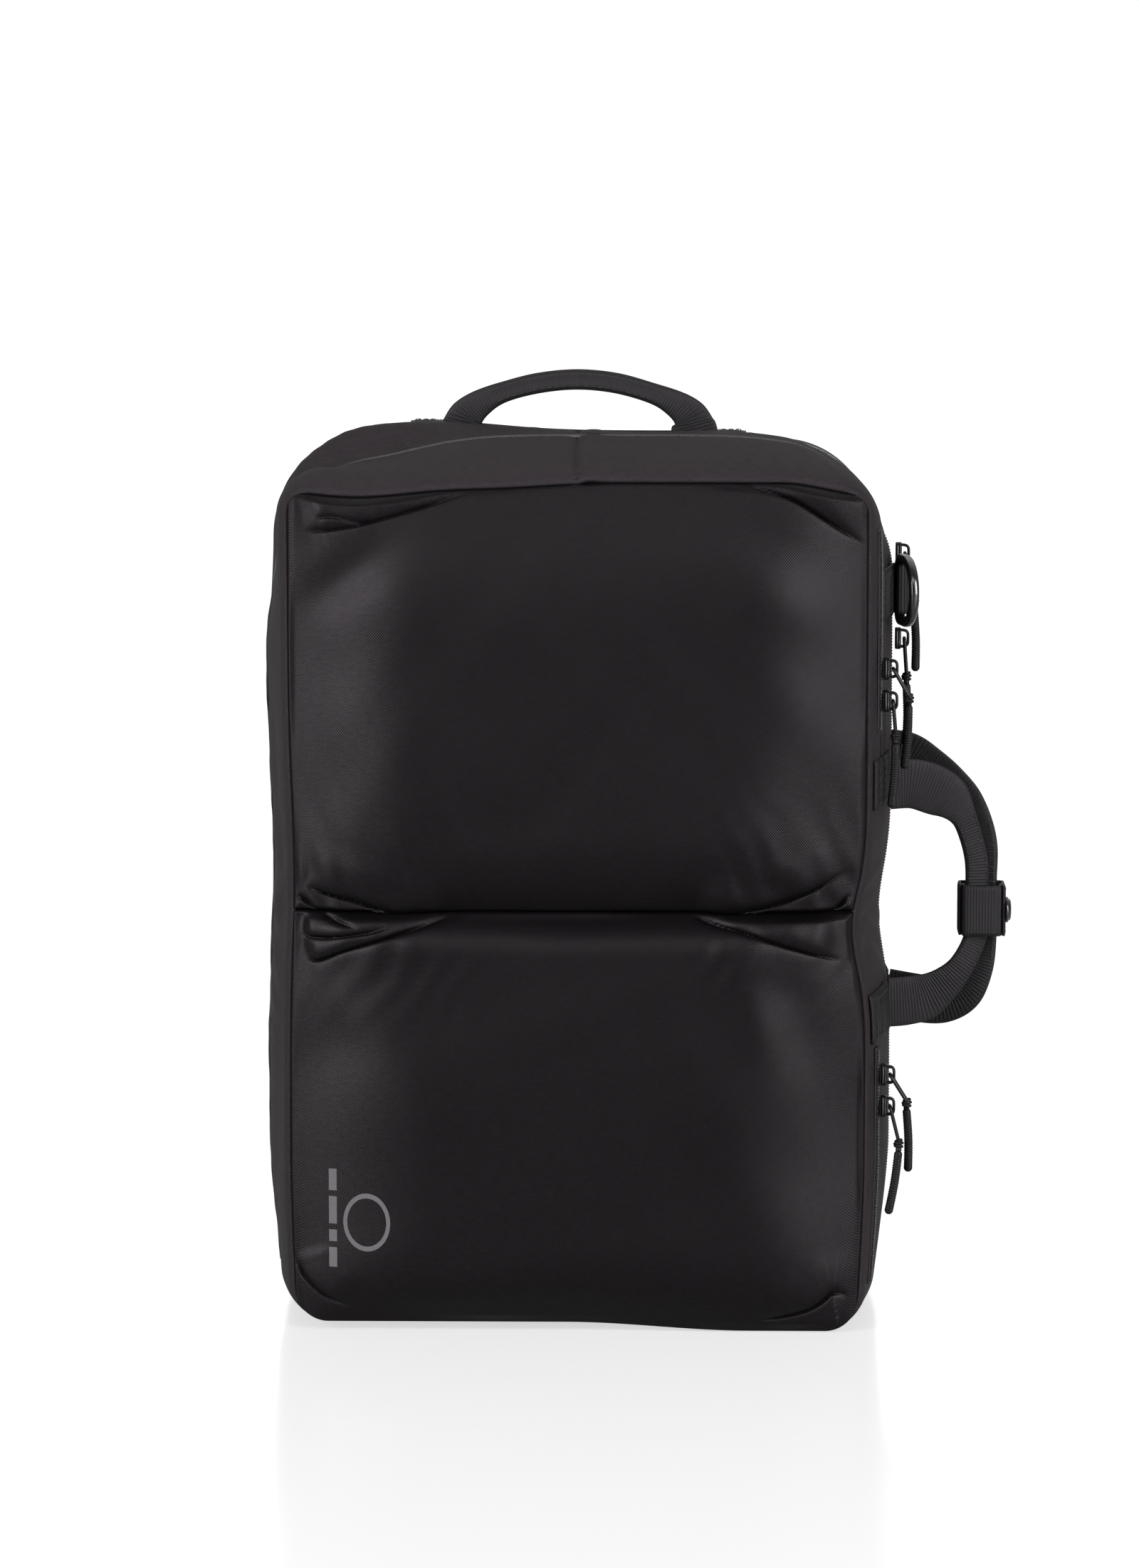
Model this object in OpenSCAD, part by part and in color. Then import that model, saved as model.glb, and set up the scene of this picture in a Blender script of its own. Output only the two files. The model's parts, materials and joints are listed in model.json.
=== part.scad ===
// Travel backpack with a clamshell main compartment, two front pockets, a pair of side
// handles held by a snap wrap, a top handle and two shoulder straps.
// Millimetres. +Z is up, the front faces -Y, and the base stands on z = 0.

/* [Body] */
// Width of the front face at its seam
front_w = 290; // [285:1:295]
// Width at the main zip, the widest place
mid_w = 314; // [310:1:318]
// Width at the back seam
back_w = 304; // [302:1:306]
// Height of the front seam
front_h = 425; // [422:1:428]
// Height at the main zip
mid_h = 443; // [442:1:444]
// Height at the back seam
back_h = 440; // [439:1:441]
// Front seam, measured from the origin
front_y = -65; // [-66:0.5:-64]
// Plane of the main zip
zip_y = 4; // [3.5:0.5:4.5]
// Back seam
back_y = 66; // [65.5:0.5:66]
// Thickness of the padded fabric walls
wall = 3; // [2.5:0.5:3.5]
// Top corner radius at the front seam
front_r = 14; // [12:1:18]
// Top corner radius at the main zip
mid_r = 55; // [52:1:58]
// Top corner radius at the back seam
back_r = 50; // [48:1:54]
// Corner radius along the base
base_r = 20; // [18:1:22]

/* [Front pockets] */
// Height of the cleft between the two pockets
cleft_z = 213; // [210:1:216]
// How far each pocket panel crowns forward
crown = 14; // [8:1:16]
// Thickness of a pocket panel
panel_t = 2; // [1.5:0.5:2.5]
// Plane of the two pocket zips
pocket_zip_y = -50; // [-51:0.5:-50]

/* [Webbing and handles] */
// Width of all webbing
web_w = 25; // [24:0.5:26]
// Thickness of the webbing
web_t = 1.8; // [1.6:0.1:2]
// Folded width of a grip
grip_w = 12; // [11:0.5:12.5]
// Folded thickness of a grip
grip_t = 4.6; // [4.2:0.1:4.7]
// Height of the upper side handle arms
upper_arm_z = 275; // [274:1:276]
// Height of the lower side handle arms
lower_arm_z = 157.5; // [156:0.5:158]

/* [Zip hardware] */
// Height of a slider
slider_h = 11; // [10:0.5:11.5]
// Width of a slider
slider_w = 8.5; // [8:0.5:9]
// Wire radius of a pull loop
wire_r = 0.9; // [0.7:0.1:0.9]
// Length of a ribbed pull tab
tab_len = 36; // [30:1:38]

/* [Harness] */
// Width of a shoulder strap
strap_w = 54; // [50:1:56]
// Thickness of a shoulder strap
strap_t = 12; // [10:1:13]
// Thickness of the back pads
pad_t = 13.5; // [12:0.5:13.5]

/* [Hidden] */

fabric = "#2b2a2d";
lining = "#4a4b50";
webbing = "#1d1d1f";
padding = "#333236";
metal = "#17171a";
plastic = "#0f0f11";

$fn = 48;
arc_steps = 6;
clear = 0.4;
zip_half = 3;
zip_gap = 0.3;
piping_w = 4;
inner_wall_y = -36;
sleeve_y = 44;
handle_front_y = -10;
handle_rear_y = 18;
front_handle_angle = 14.3;
rear_handle_angle = -11.9;
handle_x = mid_w / 2 + 0.5;
top_handle_y = 60;
top_handle_z = back_h + 2;
d_ring_y = -14;
d_ring_x = 160.2;
d_ring_z = 368;
d_ring_lean = 13;
strap_y = 85.2;
strap_web_y = 83.2;
pads_y = back_y + 0.5;

// Zip slider places: height of each slider
main_upper_z = 384;
main_lower_z = 341;
upper_pocket_upper_z = 332;
upper_pocket_lower_z = 316;
lower_pocket_upper_z = 128;
lower_pocket_lower_z = 112;

// ---- Body form ----------------------------------------------------------------------

function lerp(a, b, f) = a + (b - a) * f;
function front_share(y) = (y - front_y) / (zip_y - front_y);
function rear_share(y) = (y - zip_y) / (back_y - zip_y);
function swell(y) = y < zip_y ? 1 - pow(1 - front_share(y), 1.6) : pow(rear_share(y), 2);

// Half width, height and top corner radius of the body at depth y
function half_w(y) = y < zip_y ? lerp(front_w, mid_w, swell(y)) / 2 : lerp(mid_w, back_w, swell(y)) / 2;
function top_z(y) = y < zip_y ? lerp(front_h, mid_h, swell(y)) : lerp(mid_h, back_h, swell(y));
function top_r(y) = y < zip_y ? lerp(front_r, mid_r, front_share(y)) : lerp(mid_r, back_r, rear_share(y));

function arc(cx, cz, r, start) = [
    for (k = [0:arc_steps])
        [cx + r * cos(start + 90 * k / arc_steps), cz + r * sin(start + 90 * k / arc_steps)]
];

// Outline of the body at depth y, in x and z, set in by inset
function outline(y, inset) =
    let (w = half_w(y), h = top_z(y), rt = top_r(y))
    concat(
        arc(base_r - w, base_r, base_r - inset, 180),
        arc(w - base_r, base_r, base_r - inset, 270),
        arc(w - rt, h - rt, rt - inset, 0),
        arc(rt - w, h - rt, rt - inset, 90)
    );
corner = arc_steps + 1;
base_points = [for (i = [0:2 * corner - 1]) i];
right_points = [2 * corner - 1, 2 * corner];
top_points = [for (i = [2 * corner:4 * corner - 1]) i];
left_points = [4 * corner - 1, 0];

// Solid lofted through closed loops, each an outer run and then the inner run back
module loft(loops) {
    m = len(loops[0]);
    last = (len(loops) - 1) * m;
    sides = [
        for (k = [0:len(loops) - 2]) for (j = [0:m - 1])
            let (a = k * m + j, b = k * m + (j + 1) % m)
            each [[a, b, b + m], [a, b + m, a + m]]
    ];
    caps = [
        for (j = [0:m / 2 - 2])
            each [
                [j + 1, j, m - 1 - j], [j + 1, m - 1 - j, m - 2 - j],
                [last + j, last + j + 1, last + m - 1 - j],
                [last + j + 1, last + m - 2 - j, last + m - 1 - j]
            ]
    ];
    polyhedron([for (loop = loops) each loop], concat(sides, caps));
}

// One run of the fabric wall: the outline points named in run, between the depths in ys
function wall_loop(ys, i) = concat(
    [for (y = ys) let (p = outline(y, 0)[i]) [p[0], y, p[1]]],
    [for (k = [len(ys) - 1:-1:0]) let (p = outline(ys[k], wall)[i]) [p[0], ys[k], p[1]]]
);
module wall_run(ys, run) loft([for (i = run) wall_loop(ys, i)]);

front_depths = [for (k = [0:5]) lerp(front_y, zip_y - zip_half - zip_gap, k / 5)];
rear_depths = [for (k = [0:4]) lerp(zip_y + zip_half + zip_gap, back_y, k / 4)];
// On the hinge side the two walls run on to the zip plane
front_hinge_depths = concat(front_depths, [zip_y - zip_gap]);
rear_hinge_depths = concat([zip_y + zip_gap], rear_depths);

// Plate of the body's outline, its front face at y
module body_plate(y, t, at_y, inset)
    translate([0, y + t, 0])
        rotate([90, 0, 0])
            linear_extrude(t)
                polygon(outline(at_y, inset));

// Ring along the body's outline, from outer to inner inset
module body_ring(y, t, at_y, outer, inner)
    translate([0, y + t, 0])
        rotate([90, 0, 0])
            linear_extrude(t)
                difference() {
                    polygon(outline(at_y, outer));
                    polygon(outline(at_y, inner));
                }

// Half of the main zip: it runs over the base, the right side and the top
module zip_half_ring(y)
    difference() {
        body_ring(y, zip_half - zip_gap, zip_y, 0, 2);
        translate([-mid_w / 2 - 1, y - 1, base_r])
            cube([5, zip_half + 2, mid_h - base_r - mid_r + 2]);
    }

// Flat strip that lies on the right side of the body
function side_strip_loop(y, z0, z1, lift, t) = [
    [half_w(y) + lift, y, z0], [half_w(y) + lift, y, z1],
    [half_w(y) + lift + t, y, z1], [half_w(y) + lift + t, y, z0]
];
module side_strip(ys, z0, z1, lift, t)
    loft([for (k = [len(ys) - 1:-1:0]) side_strip_loop(ys[k], z0, z1, lift, t)]);

// ---- Curved ribbons -----------------------------------------------------------------

// Point on a smooth curve through the points of path, at share f of the stretch from k
function curve_point(path, k, f) =
    let (
        n = len(path) - 1,
        a = path[max(k - 1, 0)], b = path[k], c = path[min(k + 1, n)], d = path[min(k + 2, n)]
    )
    0.5 * (2 * b + (c - a) * f + (2 * a - 5 * b + 4 * c - d) * f * f
        + (3 * b - a - 3 * c + d) * f * f * f);
function smooth(path, steps) = concat(
    [for (k = [0:len(path) - 2]) for (s = [0:steps - 1]) curve_point(path, k, s / steps)],
    [path[len(path) - 1]]
);

function unit(v) = v / norm(v);
function direction(path, k) = unit(path[min(k + 1, len(path) - 1)] - path[max(k - 1, 0)]);

// Ribbon in the x-z plane. Each point of path is [x, z, half width, half thickness]
function ribbon_loop(path, k) =
    let (
        p = path[k],
        d = direction([for (q = path) [q[0], q[1]]], k),
        side = [-d[1], d[0]] * p[2]
    )
    [
        [p[0] + side[0], -p[3], p[1] + side[1]], [p[0] + side[0], p[3], p[1] + side[1]],
        [p[0] - side[0], p[3], p[1] - side[1]], [p[0] - side[0], -p[3], p[1] - side[1]]
    ];
module ribbon(path) loft([for (k = [0:len(path) - 1]) ribbon_loop(path, k)]);

// ---- Rear body ----------------------------------------------------------------------

module back_panel() color(lining) body_plate(back_y - 6.5, 6, back_y, wall + clear);

module back_pad(side)
    color(padding)
        mirror([side < 0 ? 1 : 0, 0, 0])
            translate([65, pads_y, 35])
                hull() {
                    cube([65, 4, 362]);
                    translate([5, 0, 5]) cube([55, pad_t, 352]);
                }

// Band across the back that slides over a trolley handle
module luggage_sleeve()
    color(fabric) {
        translate([-133, pads_y + pad_t + clear, 150]) cube([266, web_t, 110]);
        for (x = [-133, 131]) translate([x, pads_y, 150]) cube([2, pad_t + clear, 110]);
    }

module rear_gusset_left() color(fabric) wall_run(rear_hinge_depths, left_points);
module rear_gusset_right() color(fabric) wall_run(rear_depths, right_points);
module rear_gusset_top() color(fabric) wall_run(rear_depths, top_points);
module rear_gusset_bottom() color(fabric) wall_run(rear_depths, base_points);
module rear_piping() color(webbing) body_ring(back_y + 0.1, piping_w, back_y, 0, piping_w);
module main_zip_rear() color(webbing) zip_half_ring(zip_y + zip_gap);

// Padded sleeve open at the top, in front of the back panel
module laptop_sleeve()
    color(lining) {
        translate([-133, sleeve_y, 8]) cube([266, wall, 292]);
        for (x = [-133, 131]) translate([x, sleeve_y + wall, 8]) cube([2, 11.5, 292]);
        translate([-131, sleeve_y + wall, 8]) cube([262, 11.5, 2]);
    }

module strap_roots()
    color(fabric)
        for (side = [-1, 1])
            translate([side * 48 - 22, back_y + 0.4, 406]) cube([44, 16, 24]);

// Webbing tab with a ring at each lower corner of the back
module lower_anchors()
    for (side = [-1, 1]) {
        color(webbing)
            translate([side * 135, back_y + 6.6, 0])
                rotate([90, 0, 0])
                    linear_extrude(web_t)
                        polygon([[-11, 30], [11, 30], [8, 12], [-8, 12]]);
        color(metal)
            translate([side * 135, back_y + 11, 20])
                rotate([90, 0, 0])
                    rotate_extrude()
                        translate([9, 0]) circle(1.6);
    }

module rear_handle_bases()
    color(webbing)
        for (z = [upper_arm_z, lower_arm_z])
            side_strip([24, 36, 48, 62], z - web_w / 2, z + web_w / 2, clear, web_t);

// ---- Front body ---------------------------------------------------------------------

module front_gusset_left() color(fabric) wall_run(front_hinge_depths, left_points);
module front_gusset_right() color(fabric) wall_run(front_depths, right_points);
module front_gusset_top() color(fabric) wall_run(front_depths, top_points);
module front_gusset_bottom() color(fabric) wall_run(front_depths, base_points);
module front_piping()
    color(webbing) body_ring(front_y - piping_w - 0.1, piping_w, front_y, 0, piping_w);
module main_zip_front() color(webbing) zip_half_ring(zip_y - zip_half);
module pocket_wall() color(lining) body_plate(inner_wall_y, 2, inner_wall_y, wall + clear);
module pocket_divider()
    color(lining)
        translate([-140, front_y - 0.5, cleft_z - 1]) cube([280, -front_y + inner_wall_y, 2]);

// How far a rounded corner of radius r pulls an edge in, at x
function corner_drop(x, w, r) = r - sqrt(max(0, r * r - pow(max(0, abs(x) - w + r), 2)));

// Crowned pocket panel between heights z0 and z1, with rounded corners of radius r0 and r1
panel_half_w = front_w / 2 - piping_w - clear;
module pocket_panel(z0, z1, r0, r1) {
    across = 16;
    up = 10;
    function edge_z(x, f) = lerp(
        z0 + corner_drop(x, panel_half_w, r0),
        z1 - corner_drop(x, panel_half_w, r1), f);
    function face(x, f) =
        front_y - 1 - crown * (1 - pow(x / panel_half_w, 4)) * (1 - pow(2 * f - 1, 4));
    loft([
        for (i = [0:across]) let (x = panel_half_w * sin(lerp(-90, 90, i / across)))
            concat(
                [for (k = [0:up]) [x, face(x, k / up), edge_z(x, k / up)]],
                [for (k = [up:-1:0]) [x, face(x, k / up) + panel_t, edge_z(x, k / up)]]
            )
    ]);
}
module upper_pocket_panel()
    color(fabric)
        pocket_panel(cleft_z + 2, front_h - piping_w - clear, 1, front_r - piping_w);
module lower_pocket_panel()
    color(fabric)
        pocket_panel(piping_w + clear, cleft_z - 2, base_r - piping_w, 1);

pocket_zip_depths = [pocket_zip_y - zip_half, pocket_zip_y, pocket_zip_y + zip_half];
module upper_pocket_zip() color(webbing) side_strip(pocket_zip_depths, 300, 404, clear, 1);
module lower_pocket_zip() color(webbing) side_strip(pocket_zip_depths, 22, 142, clear, 1);

// Webbing that holds the ring: a flat run on the side and a loop round the ring's bar
module d_ring_webbing()
    color(webbing) {
        run = 28.5;
        slope = atan2(6, 32);
        translate([d_ring_x - 4, d_ring_y - 3, d_ring_z - web_w / 2])
            rotate([0, 0, 270 - slope])
                cube([run, web_t, web_w]);
        translate([d_ring_x, d_ring_y, d_ring_z - web_w / 2])
            difference() {
                cylinder(h = web_w, r = 4.3);
                translate([0, 0, -1]) cylinder(h = web_w + 2, r = 2.9);
            }
    }

module front_handle_bases()
    color(webbing)
        for (z = [upper_arm_z, lower_arm_z])
            side_strip([-61, -48, -35, -25, -16], z - web_w / 2, z + web_w / 2, clear, web_t);

// ---- Handles ------------------------------------------------------------------------

flat_half = [web_w / 2, web_t / 2];
grip_half = [grip_w / 2, grip_t / 2];
// Halves of width and thickness, share f of the way from flat webbing to folded grip
function fold(f) = flat_half * (1 - f) + grip_half * f;

front_handle_path = smooth([
    concat([1, 272], fold(0)), concat([11, 271.5], fold(0)),
    concat([23, 267.5], fold(0.1)), concat([33, 260.5], fold(0.4)),
    concat([40, 249], fold(0.85)), concat([44.5, 233], fold(1)),
    concat([45, 217], fold(1)), concat([45, 203], fold(1)),
    concat([44.3, 189], fold(1)), concat([37.2, 175.5], fold(0.85)),
    concat([27.5, 166], fold(0.4)), concat([18, 160.5], fold(0.1)),
    concat([9, 158], fold(0)), concat([1, lower_arm_z], fold(0))
], 3);
rear_handle_path = smooth([
    concat([1, 277.5], fold(0)), concat([9, 277], fold(0)),
    concat([18, 271], fold(0)), concat([28, 263.5], fold(0.1)),
    concat([37, 255.5], fold(0.4)), concat([45, 246], fold(0.85)),
    concat([49, 233], fold(1)), concat([49, 217], fold(1)), concat([49, 203], fold(1)),
    concat([49, 187], fold(1)), concat([46.5, 173], fold(0.85)),
    concat([39, 161.5], fold(0.4)), concat([28, 156.5], fold(0.1)),
    concat([14, 156.5], fold(0)), concat([1, lower_arm_z], fold(0))
], 3);
module front_handle_webbing()
    color(webbing)
        translate([handle_x, handle_front_y, 0])
            rotate([0, 0, front_handle_angle])
                ribbon(front_handle_path);
module rear_handle_webbing()
    color(webbing)
        translate([handle_x, handle_rear_y, 0])
            rotate([0, 0, rear_handle_angle])
                ribbon(rear_handle_path);

top_handle_path = smooth([
    [-60, 0.2, 11.5, 0.9], [-58.5, 6, 9.5, 1.4], [-51, 13, 7, 2.6], [-40, 18.5, 5.3, 3.2],
    [-22, 23.2, 5.3, 3.2], [-2, 25, 5.3, 3.2], [18, 23.2, 5.3, 3.2], [37, 17.8, 5.3, 3.2],
    [48, 12.5, 7, 2.6], [55.5, 6, 9.5, 1.4], [57, 0.2, 11.5, 0.9]
], 3);
module top_handle_webbing()
    color(webbing)
        translate([0, top_handle_y, top_handle_z])
            ribbon(top_handle_path);

// The wrap holds the two grips together: its front half is sewn to the front handle, and
// its flap passes behind the rear grip and snaps on the outer side
wrap_z = 190.5;
wrap_h = 26;
wrap_x0 = 193.2;
wrap_x1 = 213.6;
wrap_y0 = -5.2;
wrap_y1 = 13.2;
wrap_t = 1.3;
snap_y = -0.5;
module wrap_front_half()
    color(webbing)
        translate([0, 0, wrap_z]) {
            translate([wrap_x0, wrap_y0, 0]) cube([wrap_x1 - wrap_x0, wrap_t, wrap_h]);
            translate([wrap_x0, wrap_y0, 0]) cube([wrap_t, 8.6, wrap_h]);
            translate([wrap_x1 - wrap_t, wrap_y0, 0]) cube([wrap_t, 8.6, wrap_h]);
        }
module wrap_flap()
    color(webbing)
        difference() {
            translate([0, 0, wrap_z]) {
                translate([wrap_x0 - wrap_t - 0.3, -2, 0]) cube([wrap_t, wrap_y1 + 2, wrap_h]);
                translate([wrap_x0 - wrap_t - 0.3, wrap_y1 - wrap_t, 0])
                    cube([wrap_x1 - wrap_x0 + 2 * wrap_t + 0.6, wrap_t, wrap_h]);
                translate([wrap_x1 + 0.3, wrap_y0 + 1, 0])
                    cube([wrap_t, wrap_y1 - wrap_y0 - 1, wrap_h]);
            }
            translate([wrap_x1 - 1, snap_y, wrap_z + wrap_h / 2])
                rotate([0, 90, 0]) cylinder(h = 4, r = 2.4);
        }
module snap_stud()
    color(metal)
        translate([wrap_x1 + 0.1, snap_y, wrap_z + wrap_h / 2])
            rotate([0, 90, 0]) cylinder(h = 1.6, r = 1.9);
module snap_cap()
    color(plastic)
        translate([wrap_x1 + 0.3 + wrap_t + 0.2, snap_y, wrap_z + wrap_h / 2])
            rotate([0, 90, 0])
                difference() {
                    union() {
                        cylinder(h = 1.6, r = 6.5);
                        cylinder(h = 2.8, r = 5.4);
                    }
                    translate([0, 0, -1]) cylinder(h = 2.2, r = 2.2);
                }

// Moulded ring: a bar in the webbing loop, two arms and a rounded bow
ring_r = 2.5;
ring_half = 15.5;
ring_reach = 12;
module d_ring()
    color(plastic)
        translate([d_ring_x, d_ring_y, d_ring_z])
            rotate([0, 0, d_ring_lean - 90]) {
                translate([0, 0, -ring_half]) cylinder(h = 2 * ring_half, r = ring_r);
                for (s = [-1, 1]) {
                    translate([0, 0, s * ring_half]) sphere(ring_r);
                    translate([0, 0, s * ring_half])
                        rotate([0, 90, 0]) cylinder(h = ring_reach, r = ring_r);
                }
                translate([ring_reach, 0, 0])
                    rotate([90, 0, 0])
                        rotate([0, 0, -90])
                            rotate_extrude(angle = 180)
                                translate([ring_half, 0]) circle(ring_r);
            }

// ---- Shoulder straps ----------------------------------------------------------------

strap_path = smooth([
    for (p = [[48, 425], [51, 402], [59, 372], [71, 338], [84, 302], [95, 264], [103, 228], [107, 196]])
        [p[0], p[1], strap_w / 2 - (p[1] < 240 ? 3 : 0) - (p[1] < 200 ? 4 : 0), strap_t / 2]
], 3);
module strap_pad(side)
    color(fabric)
        mirror([side < 0 ? 1 : 0, 0, 0])
            translate([0, strap_y + strap_t / 2, 0])
                ribbon(strap_path);

// The lower webbing runs straight from the ladder lock to the lower corner
web_top = [108, 188];
web_end = [133, 42];
module strap_webbing(side)
    color(webbing)
        mirror([side < 0 ? 1 : 0, 0, 0])
            translate([0, strap_web_y + web_t / 2, 0])
                ribbon([
                    [web_top[0], web_top[1], web_w / 2, web_t / 2],
                    [web_end[0], web_end[1], web_w / 2, web_t / 2]
                ]);
web_lean = atan2(web_end[0] - web_top[0], web_top[1] - web_end[1]);

// Ladder lock: a plate with two slots
module ladder_lock(side)
    color(plastic)
        mirror([side < 0 ? 1 : 0, 0, 0])
            translate([109.8, strap_y, 178])
                rotate([0, -web_lean, 0])
                    difference() {
                        translate([-17, 0, -11]) cube([34, 5, 22]);
                        for (z = [-7.5, 2.5]) translate([-13.5, -1, z]) cube([27, 7, 5]);
                    }

// Hook: a plate with a bar slot for the webbing and a hole for the lower ring
module strap_hook(side)
    color(plastic)
        mirror([side < 0 ? 1 : 0, 0, 0])
            translate([web_end[0] + 2.4, strap_web_y, web_end[1] - 18])
                rotate([0, -web_lean, 0])
                    difference() {
                        translate([-15, 0, -13]) cube([30, 5, 26]);
                        translate([-12.5, -1, 5]) cube([25, 7, 5]);
                        translate([0, -1, -4]) rotate([-90, 0, 0]) cylinder(h = 7, r = 5.5);
                    }

// ---- Zip sliders and pulls ----------------------------------------------------------

pivot_out = 4.7;
arch_w = 3.2;
// Inner face of a slider whose zip runs at depth y
function slider_x(y) = half_w(y + zip_half) + clear + 1.3;
// Slider on the right side at depth y and height z, with the arch that holds its pull
module slider(y, z)
    color(metal)
        translate([slider_x(y), y, z]) {
            translate([0, -slider_w / 2, -slider_h / 2]) cube([3, slider_w, slider_h]);
            difference() {
                translate([2.9, -arch_w / 2, -4.6]) cube([4.5, arch_w, 9.2]);
                translate([2.8, -arch_w, -3]) cube([3.2, 2 * arch_w, 6]);
            }
        }

// Pull on the slider at (y, z): a wire loop that leans out, then a knot and a ribbed tab
// that hangs, set over by shift along y
loop_half = 3.1;
module pull(y, z, lean, loop_len, shift, drift)
    translate([slider_x(y) + pivot_out, y, z]) {
        color(metal)
            rotate([0, -lean, 0])
                mirror([0, 0, 1]) {
                    rotate([90, 0, 0])
                        translate([0, 0, -loop_half]) cylinder(h = 2 * loop_half, r = wire_r);
                    for (s = [-1, 1]) {
                        translate([0, s * loop_half, 0]) sphere(wire_r);
                        translate([0, s * loop_half, 0]) cylinder(h = loop_len, r = wire_r);
                        translate([0, s * loop_half, loop_len]) sphere(wire_r);
                    }
                    translate([0, 0, loop_len])
                        rotate([90, 0, 0])
                            translate([0, 0, -loop_half]) cylinder(h = 2 * loop_half, r = wire_r);
                }
        knot = [loop_len * sin(lean), shift * 0.5, -loop_len * cos(lean) - 1];
        tip = knot + [drift, shift * 0.5, -tab_len];
        color(webbing) {
            translate(knot) sphere(2.6);
            hull() {
                translate(knot + [0, shift * 0.5, -4]) sphere(1.9, $fn = 16);
                translate(tip) sphere(2.1, $fn = 16);
            }
            hull() {
                translate(knot) sphere(1.6, $fn = 16);
                translate(knot + [0, shift * 0.5, -4]) sphere(1.6, $fn = 16);
            }
        }
    }

module main_slider_upper() slider(zip_y, main_upper_z);
module main_slider_lower() slider(zip_y, main_lower_z);
module upper_pocket_slider_upper() slider(pocket_zip_y, upper_pocket_upper_z);
module upper_pocket_slider_lower() slider(pocket_zip_y, upper_pocket_lower_z);
module lower_pocket_slider_upper() slider(pocket_zip_y, lower_pocket_upper_z);
module lower_pocket_slider_lower() slider(pocket_zip_y, lower_pocket_lower_z);
module main_pull_upper() pull(zip_y, main_upper_z, 12, 24, 6.6, 1);
module main_pull_lower() pull(zip_y, main_lower_z, 4, 18, 0, 0);
module upper_pocket_pull_upper() pull(pocket_zip_y, upper_pocket_upper_z, 30, 16, 6.6, -2);
module upper_pocket_pull_lower() pull(pocket_zip_y, upper_pocket_lower_z, 5, 16, -2, -2);
module lower_pocket_pull_upper() pull(pocket_zip_y, lower_pocket_upper_z, 32, 16, 6.6, 1);
module lower_pocket_pull_lower() pull(pocket_zip_y, lower_pocket_lower_z, 14, 18, -2, -5);

// ---- Nodes --------------------------------------------------------------------------

back_panel();
back_pad(-1);  // back_pad_left
back_pad(1);  // back_pad_right
luggage_sleeve();
rear_gusset_left();
rear_gusset_right();
rear_gusset_top();
rear_gusset_bottom();
rear_piping();
main_zip_rear();
laptop_sleeve();
strap_roots();
lower_anchors();
rear_handle_bases();
front_gusset_left();
front_gusset_right();
front_gusset_top();
front_gusset_bottom();
pocket_wall();
pocket_divider();
upper_pocket_panel();
lower_pocket_panel();
front_piping();
main_zip_front();
upper_pocket_zip();
lower_pocket_zip();
d_ring_webbing();
front_handle_bases();
top_handle_webbing();
front_handle_webbing();
wrap_front_half();
snap_stud();
rear_handle_webbing();
wrap_flap();
snap_cap();
d_ring();
strap_pad(-1);  // left_strap_pad
ladder_lock(-1);  // left_ladder_lock
strap_webbing(-1);  // left_strap_webbing
strap_hook(-1);  // left_strap_hook
strap_pad(1);  // right_strap_pad
ladder_lock(1);  // right_ladder_lock
strap_webbing(1);  // right_strap_webbing
strap_hook(1);  // right_strap_hook
main_slider_upper();
main_slider_lower();
upper_pocket_slider_upper();
upper_pocket_slider_lower();
lower_pocket_slider_upper();
lower_pocket_slider_lower();
main_pull_upper();
main_pull_lower();
upper_pocket_pull_upper();
upper_pocket_pull_lower();
lower_pocket_pull_upper();
lower_pocket_pull_lower();
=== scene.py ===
"""Looks of the travel backpack, built round its CAD frame. Metres, +Z up, the front faces -Y."""
import json
import math

import bpy
import numpy as np
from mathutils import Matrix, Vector


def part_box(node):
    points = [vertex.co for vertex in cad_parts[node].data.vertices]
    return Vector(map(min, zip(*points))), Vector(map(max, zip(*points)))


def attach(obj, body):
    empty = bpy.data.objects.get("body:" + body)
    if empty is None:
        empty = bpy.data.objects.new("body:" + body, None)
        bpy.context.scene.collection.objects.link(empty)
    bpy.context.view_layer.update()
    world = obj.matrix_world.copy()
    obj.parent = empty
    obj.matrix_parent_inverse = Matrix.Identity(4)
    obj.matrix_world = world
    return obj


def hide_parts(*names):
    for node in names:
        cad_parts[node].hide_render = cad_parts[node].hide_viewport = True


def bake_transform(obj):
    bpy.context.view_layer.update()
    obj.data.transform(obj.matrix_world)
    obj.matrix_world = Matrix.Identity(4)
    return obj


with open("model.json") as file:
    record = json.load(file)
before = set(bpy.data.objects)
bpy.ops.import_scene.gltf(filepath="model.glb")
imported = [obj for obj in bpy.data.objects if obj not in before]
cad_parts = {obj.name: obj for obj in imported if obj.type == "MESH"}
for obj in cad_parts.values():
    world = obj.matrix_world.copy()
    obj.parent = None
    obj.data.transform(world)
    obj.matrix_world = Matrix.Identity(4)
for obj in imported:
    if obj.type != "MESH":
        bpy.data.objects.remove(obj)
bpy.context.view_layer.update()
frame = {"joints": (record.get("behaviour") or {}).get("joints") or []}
TAU = 2 * math.pi


# ---- Camera ---------------------------------------------------------------------------

def place_camera(elevation, azimuth, distance, target, lens):
    """A camera that looks at target from that elevation and azimuth, in degrees."""
    e, a = math.radians(elevation), math.radians(azimuth)
    back = Vector((math.sin(a) * math.cos(e), -math.cos(a) * math.cos(e), math.sin(e)))
    cam = bpy.data.objects.new("camera", bpy.data.cameras.new("camera"))
    cam.location = Vector(target) + back * distance
    cam.rotation_euler = (-back).to_track_quat("-Z", "Y").to_euler()
    cam.data.lens = lens
    cam.data.clip_end = 60
    bpy.context.scene.collection.objects.link(cam)
    bpy.context.scene.camera = cam


place_camera(8.0, 1.0, 3.0, (-0.005, 0, 0.267), 136.5)


# ---- Sizes, read from the frame ---------------------------------------------------------

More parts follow.
